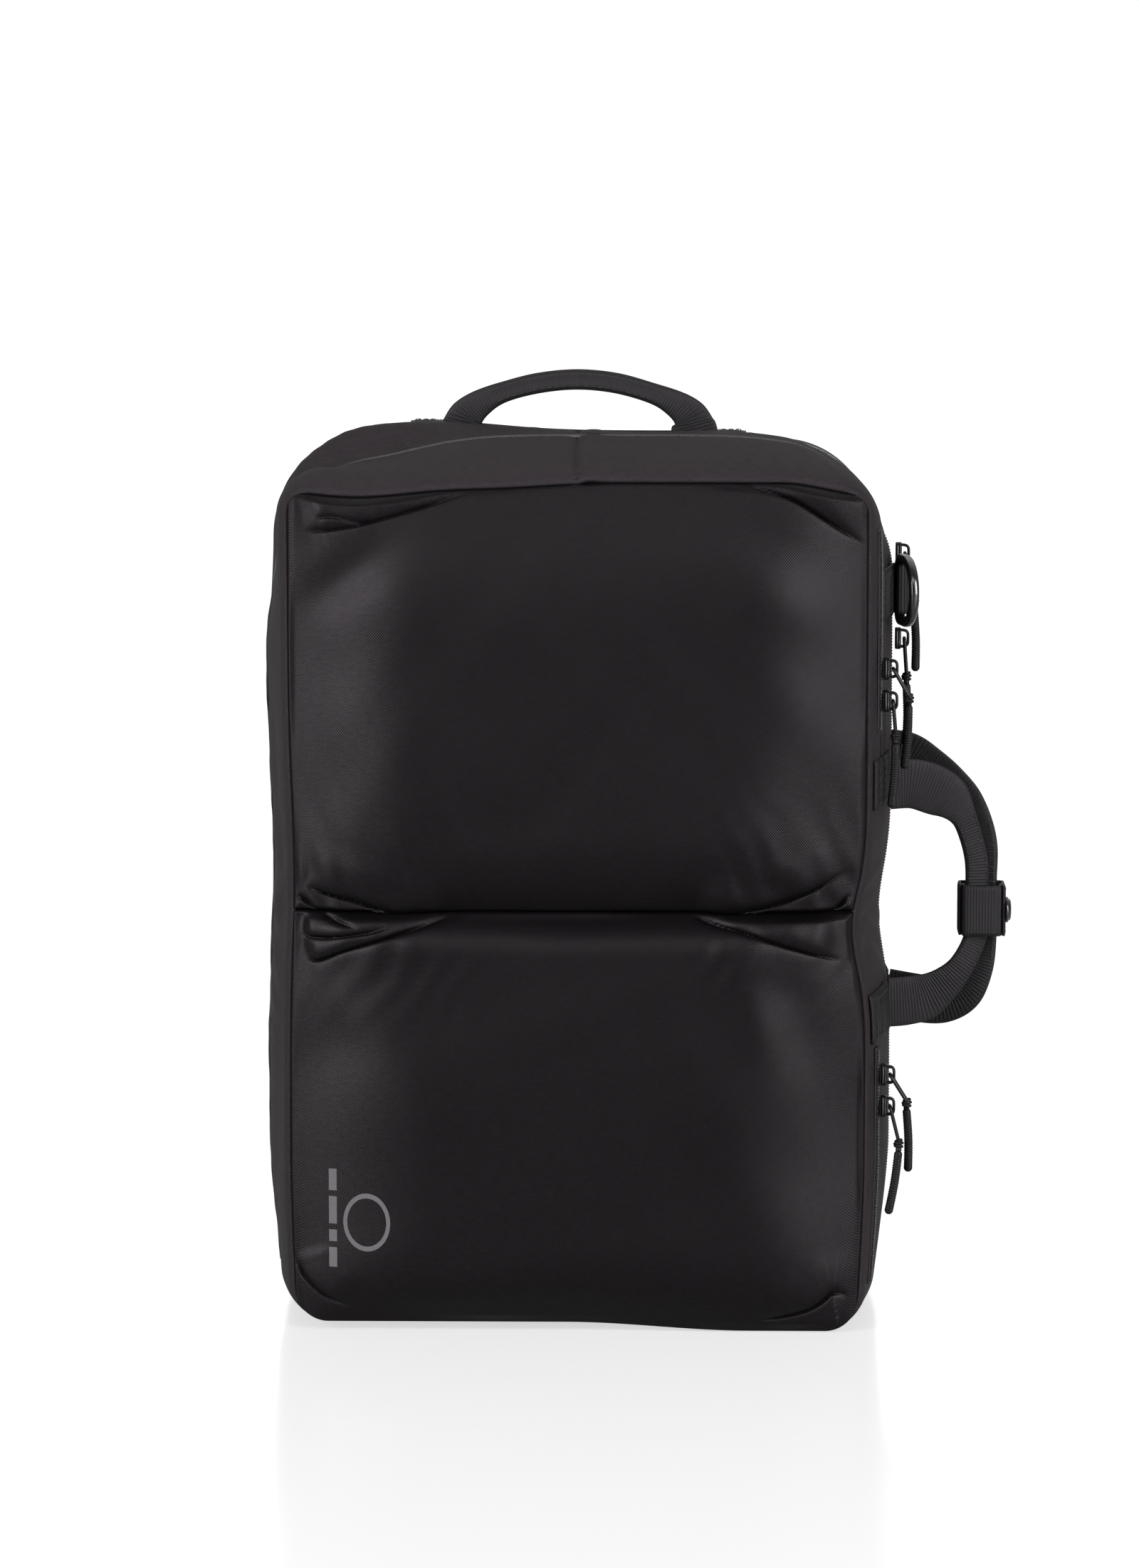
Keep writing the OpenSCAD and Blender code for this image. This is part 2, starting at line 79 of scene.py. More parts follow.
def size_of(node):
    low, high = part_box(node)
    return np.array(low), np.array(high)


_, front_seam = size_of("front_piping")
zip_low, zip_high = size_of("main_zip_front")
rear_low, rear_high = size_of("rear_piping")
FRONT_W, FRONT_H, FRONT_Y = front_seam[0], front_seam[2], front_seam[1] + 0.0001
MID_W, MID_H, ZIP_Y = zip_high[0], zip_high[2], zip_low[1] + 0.003
BACK_W, BACK_H, BACK_Y = rear_high[0], rear_high[2], rear_low[1] - 0.0001
FRONT_R, MID_R, BACK_R, BASE_R = 0.014, 0.055, 0.050, 0.020
WALL = 0.003
# Webbing has a rib across it at each PITCH, RIB high; its paths have a point every STEP
PITCH, RIB, STEP = 0.0015, 0.00016, 0.000375
CLEFT_Z = float(np.mean([size_of("pocket_divider")[0][2], size_of("pocket_divider")[1][2]]))


# ---- Numbers and curves -----------------------------------------------------------------

def mix(a, b, f):
    return a + (b - a) * f


def step(f):
    """Smooth 0 to 1 over f from 0 to 1."""
    f = np.clip(f, 0, 1)
    return f * f * (3 - 2 * f)


def bump(v, centre, width):
    return np.exp(-(((v - centre) / width) ** 2))


def ripple(p, size, seed, octaves=3):
    """Smooth noise about 0, of roughly unit height, with features of that size."""
    rng = np.random.default_rng(seed)
    total = np.zeros(p.shape[:-1])
    for octave in range(octaves):
        for _ in range(5):
            way = rng.normal(size=3)
            way *= TAU / (size * 0.62 ** octave * np.linalg.norm(way) * rng.uniform(0.8, 1.6))
            total += np.sin(p @ way + rng.uniform(0, TAU)) * 0.38 * 0.55 ** octave
    return total


def smooth(points, steps):
    """Smooth curve through rows of points, with that many steps in each stretch."""
    p = np.array(points, float)
    p = np.vstack([p[:1], p, p[-1:]])
    out = []
    for k in range(1, len(p) - 2):
        a, b, c, d = p[k - 1:k + 3]
        for f in np.linspace(0, 1, steps, endpoint=False):
            out.append(0.5 * (2 * b + (c - a) * f + (2 * a - 5 * b + 4 * c - d) * f ** 2
                              + (3 * b - a - 3 * c + d) * f ** 3))
    out.append(p[-2])
    return np.array(out)


def along(path):
    """Distance along a path at each of its points, measured on its first three columns."""
    return np.concatenate([[0], np.cumsum(np.linalg.norm(np.diff(path[:, :3], axis=0), axis=1))])


def even(path, spacing):
    """The path again with points that far apart."""
    s = along(path)
    at = np.linspace(0, s[-1], max(3, int(round(s[-1] / spacing)) + 1))
    return np.stack([np.interp(at, s, path[:, k]) for k in range(path.shape[1])], 1)


def section(width, thick, count, power=2.6):
    """Closed section of a webbing or rod: width along the first axis."""
    a = np.arange(count) / count * TAU
    c, s = np.cos(a), np.sin(a)
    return np.stack([np.sign(c) * np.abs(c) ** (2 / power) * width / 2,
                     np.sign(s) * np.abs(s) ** (2 / power) * thick / 2], 1)


# ---- Body form --------------------------------------------------------------------------

def front_share(y):
    return (y - FRONT_Y) / (ZIP_Y - FRONT_Y)


def rear_share(y):
    return (y - ZIP_Y) / (BACK_Y - ZIP_Y)


def form(y):
    """Half width, height and top corner radius of the body at depth y."""
    if y < ZIP_Y:
        f = 1 - max(0.0, 1 - front_share(y)) ** 1.6
        return mix(FRONT_W, MID_W, f), mix(FRONT_H, MID_H, f), mix(FRONT_R, MID_R, max(0.0, front_share(y)))
    f = rear_share(y) ** 2
    return mix(MID_W, BACK_W, f), mix(MID_H, BACK_H, f), mix(MID_R, BACK_R, rear_share(y))


def arc(cx, cz, r, start, count):
    a = np.radians(start) + np.linspace(0, math.pi / 2, count, endpoint=False)
    return np.stack([cx + r * np.cos(a), cz + r * np.sin(a)], 1)


def line(a, b, count, crowd=0.0):
    """Points from a to b, without b, drawn in towards the middle by crowd."""
    t = np.linspace(-1, 1, count, endpoint=False)
    t = (1 - crowd) * t + crowd * t ** 3
    f = ((t + 1) / 2)[:, None]
    return np.array(a) * (1 - f) + np.array(b) * f


def outline(y, inset=0.0):
    """Closed outline of the body at depth y in x and z, from the middle of the base round the right."""
    w, h, r = form(y)
    w, h, low, rt, rb = w - inset, h - inset, inset, max(r - inset, 0.001), max(BASE_R - inset, 0.001)
    return np.vstack([
        line((0, low), (w - rb, low), 60),
        arc(w - rb, low + rb, rb, 270, 16),
        line((w, low + rb), (w, h - rt), 180),
        arc(w - rt, h - rt, rt, 0, 44),
        line((w - rt, h), (rt - w, h), 150, 0.6),
        arc(rt - w, h - rt, rt, 90, 44),
        line((-w, h - rt), (-w, low + rb), 180),
        arc(rb - w, low + rb, rb, 180, 16),
        line((rb - w, low), (0, low), 60),
    ])


def slump(p):
    """The soft body's own shape: the sides draw in beside the cleft and towards the base, and the
    top seam dips on the left. Takes and returns points at rest."""
    x, y, z = p[..., 0].copy(), p[..., 1].copy(), p[..., 2].copy()
    front = 1 - step(front_share(np.minimum(y, ZIP_Y)))
    side = step((np.abs(x) - 0.105) / 0.045)
    back = step((BACK_Y - y) / 0.05)
    right = x > 0
    # The sides: drawn in by the cleft, towards the base and under the top corners
    draw = np.where(right, 0.0058 * bump(z, 0.203, 0.030) + 0.0016 * front * bump(z, 0.206, 0.02),
                    0.0026 * bump(z, 0.232, 0.055))
    low = np.clip((0.085 - z) / 0.085, 0, 1) ** 1.4
    draw = draw + low * np.where(right, 0.0105, 0.0075) * (1 - 0.62 * front)
    taper = np.where(right, step((z - 0.375) / 0.040), step((z - 0.335) / 0.065))
    draw = draw + 0.0064 * taper * (1 - front) * (1 - np.where(right, 0.4, 1.0) * step((y - ZIP_Y) / 0.03))
    x = x - np.sign(x) * draw * side * back
    # The front top seam
    high = step((z - 0.36) / 0.06)
    z = z + high * front * (-0.0042 * bump(x, -0.108, 0.034) + 0.0030 * step((x + 0.05) / 0.07)
                            - 0.0060 * step((x - 0.100) / 0.045))
    # The zip line sags at both top corners, below the back of the bag
    to_zip = step(front_share(np.minimum(y, ZIP_Y)))
    to_back = step((y - ZIP_Y - 0.004) / 0.030)
    z = z - high * to_zip * (1 - to_back) * 0.0128 * bump(x, -0.118, np.where(x < -0.118, 0.018, 0.046))
    z = z - high * to_zip * 0.0066 * bump(x, 0.132, 0.034)
    z = z + high * to_back * 0.0046 * bump(x, -0.074, 0.046)
    # The front edge of the base lifts off the floor but for its right end
    z = z + 0.0042 * step((0.034 - z) / 0.034) * front * step((0.085 - x) / 0.09)
    return np.stack([x, y, z], -1)


# ---- Meshes -----------------------------------------------------------------------------

def grid_normals(P, wrap_r=False, wrap_c=False):
    """Unit normals of a grid of points."""
    def slope(A, axis, wrap):
        if wrap:
            return np.roll(A, -1, axis) - np.roll(A, 1, axis)
        return np.gradient(A, axis=axis)
    n = np.cross(slope(P, 1, wrap_c), slope(P, 0, wrap_r))
    length = np.linalg.norm(n, axis=2, keepdims=True)
    return n / np.maximum(length, 1e-12)


class Build:
    """Collects grids and loose faces into one mesh, with cloth coordinates in metres."""

    def __init__(self):
        self.verts, self.faces, self.uvs, self.marks, self.count = [], [], [], [], 0

    def grid(self, P, wrap_r=False, wrap_c=False, flip=False, mat=0):
        rows, cols = P.shape[:2]
        close_c = np.concatenate([P, P[:, :1]], 1) if wrap_c else P
        close_r = np.concatenate([P, P[:1]], 0) if wrap_r else P
        U = np.concatenate([[0], np.cumsum(np.linalg.norm(np.diff(close_c, axis=1), axis=2).mean(0))])
        V = np.concatenate([[0], np.cumsum(np.linalg.norm(np.diff(close_r, axis=0), axis=2).mean(1))])
        r = np.arange(rows if wrap_r else rows - 1)
        c = np.arange(cols if wrap_c else cols - 1)
        R, C = np.meshgrid(r, c, indexing="ij")
        corner = [(R, C), (R, C + 1), (R + 1, C + 1), (R + 1, C)]
        if flip:
            corner = corner[::-1]
        faces = np.stack([(a % rows) * cols + b % cols for a, b in corner], -1).reshape(-1, 4)
        uvs = np.stack([np.stack([U[b], V[a]], -1) for a, b in corner], 2).reshape(-1, 4, 2)
        self.verts.append(P.reshape(-1, 3))
        self.faces += (faces + self.count).tolist()
        self.uvs.append(uvs.reshape(-1, 2))
        self.marks += [mat] * len(faces)
        first = self.count
        self.count += rows * cols
        return first

    def face(self, indices, mat=0):
        """One face, its cloth coordinates taken along the two axes in which it is widest."""
        self.faces.append(list(indices))
        pts = np.vstack(self.verts)[indices]
        spread = pts.max(0) - pts.min(0)
        keep = np.argsort(spread)[1:]
        self.uvs.append(pts[:, np.sort(keep)])
        self.marks.append(mat)

    def sweep(self, P, wrap_r=False, mat=0, flip=False, caps=True):
        """A tube of rings, closed round each ring, with flat ends."""
        rows, cols = P.shape[:2]
        first = self.grid(P, wrap_r, True, flip, mat)
        if caps and not wrap_r:
            a = list(range(first, first + cols))
            b = list(range(first + (rows - 1) * cols, first + rows * cols))
            self.face(a if flip else a[::-1], mat)
            self.face(b[::-1] if flip else b, mat)

    def sheet(self, P, thick, wrap_c=False, flip=False, mats=(0, 0)):
        """A closed sheet: P is its outer face, and the inner face lies thick behind it."""
        n = grid_normals(P, False, wrap_c) * (-1 if flip else 1)
        rows, cols = P.shape[:2]
        a = self.grid(P, False, wrap_c, flip, mats[0])
        b = self.grid(P - n * thick, False, wrap_c, not flip, mats[1])
        flat = np.vstack(self.verts)
        run = list(range(cols)) + ([0] if wrap_c else [])
        edges = [(run, False), ([(rows - 1) * cols + i for i in run], True)]
        if not wrap_c:
            edges.append(([r * cols for r in range(rows)], True))
            edges.append(([r * cols + cols - 1 for r in range(rows)], False))
        for edge, turn in edges:
            length = 0.0
            for i, k in zip(edge[:-1], edge[1:]):
                quad = [a + i, a + k, b + k, b + i]
                ds = float(np.linalg.norm(flat[a + k] - flat[a + i]))
                uv = [(length, 0), (length + ds, 0), (length + ds, thick), (length, thick)]
                if turn == flip:
                    quad, uv = quad[::-1], uv[::-1]
                self.faces.append(quad)
                self.uvs.append(np.array(uv))
                self.marks.append(mats[0])
                length += ds

    def make(self, name, mats, body=None, replaces=(), sharp=None):
        """The mesh as a named piece: on a body, in the place of some CAD nodes."""
        me = bpy.data.meshes.new(name)
        me.from_pydata(np.vstack(self.verts).tolist(), [], self.faces)
        layer = me.uv_layers.new(name="cloth")
        layer.data.foreach_set("uv", np.vstack(self.uvs).astype(np.float32).ravel())
        for m in mats if isinstance(mats, (list, tuple)) else [mats]:
            me.materials.append(m)
        me.polygons.foreach_set("material_index", self.marks)
        me.polygons.foreach_set("use_smooth", [True] * len(self.faces))
        me.validate()
        ob = bpy.data.objects.new(name, me)
        bpy.context.scene.collection.objects.link(ob)
        if sharp:
            me.set_sharp_from_angle(angle=math.radians(sharp))
        if body:
            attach(ob, body)
        if replaces:
            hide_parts(*replaces)
        return ob


def frames(path, up, closed=False):
    """Unit across and up vectors at each point of a path. up is near the section's second axis."""
    if closed:
        t = np.roll(path, -1, 0) - np.roll(path, 1, 0)
    else:
        t = np.gradient(path, axis=0)
    t /= np.maximum(np.linalg.norm(t, axis=1, keepdims=True), 1e-12)
    up = np.broadcast_to(np.array(up, float), path.shape)
    side = np.cross(t, up)
    side /= np.maximum(np.linalg.norm(side, axis=1, keepdims=True), 1e-12)
    return side, np.cross(side, t)


def rings(path, sections, up, closed=False):
    """Rings of a sweep: sections is one section or one for each point."""
    side, high = frames(path, up, closed)
    s = np.broadcast_to(sections, (len(path),) + sections.shape[-2:])
    return path[:, None] + s[..., :1] * side[:, None] + s[..., 1:] * high[:, None]


def turned(p, angle, centre=(0, 0, 0)):
    """Points turned about +Z through centre, in degrees."""
    a = math.radians(angle)
    m = np.array([[math.cos(a), -math.sin(a), 0], [math.sin(a), math.cos(a), 0], [0, 0, 1]])
    return (np.asarray(p) - centre) @ m.T + centre


# ---- Materials --------------------------------------------------------------------------

class Nodes:
    """Short hand for one material's node tree."""

    def __init__(self, name):
        self.mat = bpy.data.materials.new(name)
        self.mat.use_nodes = True
        self.tree = self.mat.node_tree
        self.shader = self.tree.nodes["Principled BSDF"]

    def add(self, kind, **inputs):
        node = self.tree.nodes.new(kind)
        for key, value in inputs.items():
            if key.startswith("_"):
                setattr(node, key[1:], value)
        for key, value in inputs.items():
            if not key.startswith("_"):
                slot = node.inputs[int(key[1:])] if key[0] == "i" and key[1:].isdigit() else node.inputs[key]
                self.put(slot, value)
        return node

    def put(self, slot, value):
        if isinstance(value, bpy.types.NodeSocket):
            self.tree.links.new(value, slot)
        else:
            slot.default_value = value

    def math(self, operation, a, b=0.0):
        return self.add("ShaderNodeMath", _operation=operation, i0=a, i1=b).outputs[0]

    def set(self, **inputs):
        for key, value in inputs.items():
            self.put(self.shader.inputs[key.replace("_", " ")], value)


def shade(c, k):
    return (c[0] * k, c[1] * k, c[2] * k, 1)


def cloth(name, color, pitch, contrast, height, rough, sheen=0.0, spec=0.22, threads=0.40):
    """Woven cloth: a staggered dot weave of that pitch (across, along) in cloth metres, mixed with
    slubby yarn by the share threads."""
    n = Nodes(name)
    wear = 0.14
    uv = n.add("ShaderNodeUVMap", _uv_map="cloth").outputs[0]
    split = n.add("ShaderNodeSeparateXYZ", Vector=uv)
    wave_u = n.math("COSINE", n.math("MULTIPLY", split.outputs[0], TAU / pitch[0]))
    wave_v = n.math("COSINE", n.math("MULTIPLY", split.outputs[1], TAU / pitch[1]))
    weave = n.add("ShaderNodeMapRange", Value=n.math("MULTIPLY", wave_u, wave_v)).outputs[0]
    weave.node.inputs["From Min"].default_value = -1
    across = n.math("MULTIPLY", split.outputs[0], 0.3 / pitch[0])
    along_ = n.math("MULTIPLY", split.outputs[1], 1.0 / pitch[1])
    yarn = n.add("ShaderNodeCombineXYZ", X=across, Y=along_).outputs[0]
    fine = n.add("ShaderNodeTexNoise", Vector=yarn, Scale=1.0, Detail=2.0, Roughness=0.7).outputs[0]
    fine = n.add("ShaderNodeMapRange", Value=fine).outputs[0]
    fine.node.inputs["From Min"].default_value = 0.25
    fine.node.inputs["From Max"].default_value = 0.75
    place = n.add("ShaderNodeTexCoord").outputs["Object"]
    broad = n.add("ShaderNodeTexNoise", Vector=place, Scale=9.0, Detail=3.0).outputs[0]
    level = n.math("ADD", n.math("MULTIPLY", weave, 1 - threads), n.math("MULTIPLY", fine, threads))
    gain = n.math("ADD", n.math("MULTIPLY", broad, wear * 2), 1 - wear)
    base = n.add("ShaderNodeMix", _data_type="RGBA", Factor=level)
    base.inputs[6].default_value = shade(color, 1 - contrast)
    base.inputs[7].default_value = shade(color, 1 + contrast)
    tone = n.add("ShaderNodeMix", _data_type="RGBA", _blend_type="MULTIPLY", Factor=1.0)
    n.put(tone.inputs[6], base.outputs[2])
    n.put(tone.inputs[7], gain)
    relief = n.add("ShaderNodeBump", Height=weave, Distance=height, Strength=0.7)
    shine = n.math("MULTIPLY", n.math("ADD", n.math("MULTIPLY", level, 2 * contrast), 1 - contrast), spec)
    n.set(Base_Color=tone.outputs[2], Roughness=rough, Normal=relief.outputs[0],
          Sheen_Weight=sheen, Sheen_Roughness=0.45, Sheen_Tint=(0.6, 0.55, 0.6, 1), Specular_IOR_Level=shine,
          Specular_Tint=(1.0, 0.90, 0.97, 1))
    return n.mat


def solid(name, color, rough, spec, metallic=0.0, grain=0.08):
    """Plastic, metal or cord: one colour, with a slightly uneven finish."""
    n = Nodes(name)
    place = n.add("ShaderNodeTexCoord").outputs["Object"]
    noise = n.add("ShaderNodeTexNoise", Vector=place, Scale=160.0, Detail=3.0).outputs[0]
    uneven = n.add("ShaderNodeMapRange", Value=noise).outputs[0]
    uneven.node.inputs["To Min"].default_value = rough * (1 - grain * 2)
    uneven.node.inputs["To Max"].default_value = min(1, rough * (1 + grain * 2))
    relief = n.add("ShaderNodeBump", Height=noise, Distance=0.00005, Strength=0.35)
    n.set(Base_Color=(*color, 1), Roughness=uneven, Metallic=metallic, Specular_IOR_Level=spec,
          Normal=relief.outputs[0])
    return n.mat


RIPSTOP = (0.00135, 0.0015)
SHELL = cloth("shell_fabric", (0.0007, 0.0006, 0.0007), RIPSTOP, 0.55, 0.00010, 0.45,
              spec=0.074, threads=0.25)
BAND = cloth("shell_fabric_band", (0.0082, 0.0069, 0.0077), RIPSTOP, 0.55, 0.00014, 0.72, spec=0.04)
LINING = cloth("lining", (0.045, 0.045, 0.048), (0.0006, 0.0006), 0.18, 0.00006, 0.5, sheen=0.15, spec=0.3)
WEB = cloth("webbing", (0.0032, 0.0032, 0.0034), (0.0010, 0.0008), 0.45, 0.00012, 0.55,
            spec=0.10, threads=0.1)
MESH = cloth("spacer_mesh", (0.016, 0.0155, 0.017), (0.0030, 0.0052), 0.75, 0.0007, 0.75, sheen=0.10)
TAPE = cloth("zip_tape", (0.0070, 0.0066, 0.0070), (0.0007, 0.0010), 0.4, 0.0001, 0.6, sheen=0.02, spec=0.12)
COIL = solid("zip_coil", (0.0075, 0.0075, 0.008), 0.40, 0.25)
THREAD = solid("thread", (0.009, 0.0085, 0.009), 0.6, 0.12)
METAL = solid("black_metal", (0.0022, 0.0022, 0.0025), 0.28, 0.10)
WIRE = solid("ring_metal", (0.02, 0.02, 0.021), 0.32, 0.3, metallic=0.5)
CORD = solid("pull_cord", (0.0025, 0.0025, 0.0028), 0.45, 0.07)
GLOSS = solid("gloss_plastic", (0.003, 0.003, 0.0035), 0.20, 0.35, grain=0.2)
MATTE = solid("matte_plastic", (0.009, 0.009, 0.0095), 0.42, 0.3)
PRINT = solid("print", (0.037, 0.035, 0.037), 0.7, 0.10)


# ---- Stitching --------------------------------------------------------------------------

def stitch(build, path, up, mat=1):
    """A row of thread stitches along a path on a surface whose outward side is up."""
    long, gap, r = 0.0026, 0.0011, 0.00028
    dense = even(path, 0.0004)
    ups = np.broadcast_to(np.array(up, float), path.shape)
    s_in, s_out = along(path), along(dense)
    ups = np.stack([np.interp(s_out, s_in, ups[:, k]) for k in range(3)], 1)
    start = 0.0
    share = np.array([0, 0.18, 0.5, 0.82, 1.0])
    lift = np.array([-0.6, 0.55, 0.9, 0.55, -0.6]) * r
    ring = section(2 * r, 1.5 * r, 6, 2)
    while start + long < s_out[-1]:
        at = start + share * long
        p = np.stack([np.interp(at, s_out, dense[:, k]) for k in range(3)], 1)
        u = np.stack([np.interp(at, s_out, ups[:, k]) for k in range(3)], 1)
        P = rings(p + u * lift[:, None], ring, u)
        build.sweep(P, mat=mat, caps=False)
        start += long + gap


# ---- The two fabric halves of the body --------------------------------------------------

def shell_points(y0, y1, rows, seam_in):
    """Outer face of one half's fabric band between two depths; seam_in says which end is the piped seam."""
    roll_depth, roll_run = 0.0012, 0.008
    P = []
    for y in np.linspace(y0, y1, rows):
        to_seam = abs(y - (y0 if seam_in == 0 else y1))
        o = outline(y, roll_depth * (1 - min(to_seam / roll_run, 1)) ** 2)
        P.append(np.stack([o[:, 0], np.full(len(o), y), o[:, 1]], 1))
    return np.array(P)


def out_of(P):
    """Outward direction of the body at points on its band, and whether its grid faces inwards."""
    n = grid_normals(P, False, True)
    inward = ((P - P.mean((0, 1))) * n).sum() < 0
    return (-n if inward else n), inward


def band(name, y0, y1, rows, seam_in, seed, body):
    """One half of the body's side band: fabric outside, lining inside."""
    P = shell_points(y0, y1, rows, seam_in)
    n, _ = out_of(P)
    x, y, z = P[..., 0], P[..., 1], P[..., 2]
    puff = np.sin(math.pi * np.clip((y - y0) / (y1 - y0), 0, 1))
    lift = 0.0007 * ripple(P, 0.075, seed) * puff
    on_top = step((z - 0.40) / 0.02)
    # The seam across the middle of the top, with the cloth full beside it
    lift -= 0.0017 * np.exp(-np.abs(x + 0.001) / 0.0016) * on_top
    lift += 0.0011 * bump(x, 0.006, 0.006) * on_top
    gather = np.sin(x / 0.0085 * TAU + 2.5 * ripple(P, 0.06, seed + 3)) * on_top
    lift += 0.00012 * gather * puff
    side = step((np.abs(x) - 0.13) / 0.012)
    creases = np.sin(z / 0.021 * TAU + 3 * ripple(P, 0.11, seed + 5)) * bump(z, CLEFT_Z - 0.006, 0.05) * side
    lift += 0.0009 * creases * puff
    lift = np.where(z < 0.004, np.minimum(lift, 0), lift)
    P = slump(P + n * lift[..., None])
    P[..., 2] = np.maximum(P[..., 2], 0.0)
    b = Build()
    b.sheet(P, WALL * 0.8, wrap_c=True, flip=out_of(P)[1], mats=(0, 1))
    gussets = [f"{name.split('_')[0]}_gusset_{part}" for part in ("left", "right", "top", "bottom")]
    b.make(name, [BAND, LINING], body, gussets)


band("front_shell", FRONT_Y, ZIP_Y - 0.0033, 24, 0, 3, "front_body")
band("rear_shell", ZIP_Y + 0.0033, BACK_Y, 22, 1, 11, "rear_body")


# ---- Front pocket panels ----------------------------------------------------------------

PANEL_W = FRONT_W - 0.0014
CROWN = 0.0155


def rise(d, run, power=2.3):
    """How far a padded edge has risen at distance d from it, from 0 to 1."""
    return 1 - (1 - np.clip(d / run, 0, 1)) ** power


def facet(d, flat, run):
    """How far a puffed panel has risen at distance d from its edge, from 0 to 1: an even slope to
    flat, then easing out until run."""
    half = (run - flat) / 2
    u = np.clip((d - flat) / (run - flat), 0, 1)
    return (np.minimum(d, flat) + half * (u + np.sin(math.pi * u) / math.pi)) / (flat + half)


def corner_cut(x, half, r):
    """How far a round corner of radius r draws the edge in, at distance x from the middle."""
    return r - np.sqrt(np.maximum(0, r * r - np.maximum(0, np.abs(x) - half + r) ** 2))


# Folds in the front, each a line in x and z (millimetres), with how deep it cuts, the height and
# width of the roll above it, the height of the one below, and how far the upper cloth hangs over
FOLDS = [
    ([(-134, 403.5), (-113, 408.5), (-92, 413.2), (-72, 417.2), (-50, 421.5)], 2.6, 2.6, 7.5, 0.4, 1.6),
    ([(-128, 411.5), (-120, 413), (-108, 411.5), (-98, 412.5)], 1.6, 0.8, 4, 0.4, 0.6),
    ([(56, 427), (86, 421), (100, 418), (112, 413.5), (128, 405.5), (141, 397)], 4.2, 3.4, 9, 0.8, 2.0),
    ([(-136, 225.5), (-124, 223.8), (-110, 221), (-98, 217.5), (-88, 214.9), (-73, 213.6), (-52, 213.6)],
     4.2, 2.4, 8, 1.0, 2.0),
    ([(-141, 221), (-134, 217), (-127.5, 212.5), (-118, 208.5), (-107, 205.6)], 4.6, 0.8, 4, 0.8, 0.8),
    ([(-138, 201.6), (-125, 201.4), (-107, 204), (-92, 207)], 3.2, 3.2, 5, 0.9, 1.6),
    ([(-135, 188.5), (-126, 191), (-117, 194.8), (-98, 201), (-79, 206.6), (-60, 211)], 4.2, 3.4, 6.5, 0.8, 2.2),
    ([(62, 213.8), (84, 217), (103, 221.4), (119, 227), (137, 234.4)], 4.0, 2.0, 8, 1.6, 1.8),
    ([(96, 212), (126, 213.4), (134, 216.5), (139, 222)], 4.6, 0.6, 4, 2.4, 0.6),
    ([(56, 211.4), (80, 206), (103, 198.6), (119, 194), (136, 189)], 4.2, 4.2, 10, 0.8, 2.2),
    ([(88, 6.5), (113, 12), (124, 17.5), (129, 21.5), (138, 19)], 3.2, 2.2, 7, 1.6, 1.2),
    ([(-143, 40), (-138, 28), (-128, 17), (-112, 9)], 2.4, 1.6, 8, 1.0, 0.8),
]


def nearest_on(p, x, z):
    """Distance of points from a line p, positive above it, and the share of the line passed there."""
    best, signed, share = np.full(x.shape, 1e9), np.zeros_like(x), np.zeros_like(x)
    for k, (a, b) in enumerate(zip(p[:-1], p[1:])):
        ab = b - a
        t = np.clip(((x - a[0]) * ab[0] + (z - a[1]) * ab[1]) / (ab @ ab), 0, 1)
        dx, dz = x - a[0] - t * ab[0], z - a[1] - t * ab[1]
        d = np.hypot(dx, dz)
        closer = d < best
        best = np.where(closer, d, best)
        signed = np.where(closer, d * np.sign(ab[0] * dz - ab[1] * dx), signed)
        share = np.where(closer, (k + t) / (len(p) - 1), share)
    return signed, share


def fold_field(x, z):
    """Outward height and downward hang of the folds at points of the front, in metres."""
    height, hang = np.zeros_like(x), np.zeros_like(x)
    reach = 0.030
    for points, depth, roll, width, lower, over in FOLDS:
        p = smooth(points, 6) / 1000
        low, high = p.min(0) - reach, p.max(0) + reach
        near = (x > low[0]) & (x < high[0]) & (z > low[1]) & (z < high[1])
        signed, share = nearest_on(p, x[near], z[near])
        ends = step(share / 0.16) * step((1 - share) / 0.3)
        d = signed * 1000
        up = np.clip(d, 0, None) / width
        down = np.clip(-d, 0, None) / (width * 0.9)
        groove = -0.8 * depth * np.exp(-np.abs(d) / 0.95)
        rolls = np.where(d > 0, 0.72 * roll * up * np.exp(1 - up), 0.7 * lower * down * np.exp(1 - down))
        height[near] += (groove + rolls) * step((27 - np.abs(d)) / 14) * ends / 1000
        hang[near] += 1.5 * over * np.where(d > 0, np.exp(-d / 2.3), np.exp(d / 0.9)) * ends / 1000
    return height, hang


def dent(x, z, cx, cz, rx, rz, tilt):
    """A broad soft hollow or swelling about a point, 0 to 1; tilt in degrees."""
    a = math.radians(tilt)
    u = (x - cx) * math.cos(a) + (z - cz) * math.sin(a)
    v = -(x - cx) * math.sin(a) + (z - cz) * math.cos(a)
    return np.exp(-(u / rx) ** 2 - (v / rz) ** 2)


def crowded(count):
    """Shares from -1 to 1, closer together towards both ends."""
    t = np.linspace(-1, 1, count)
    return 0.55 * t + 0.45 * np.sin(t * math.pi / 2)


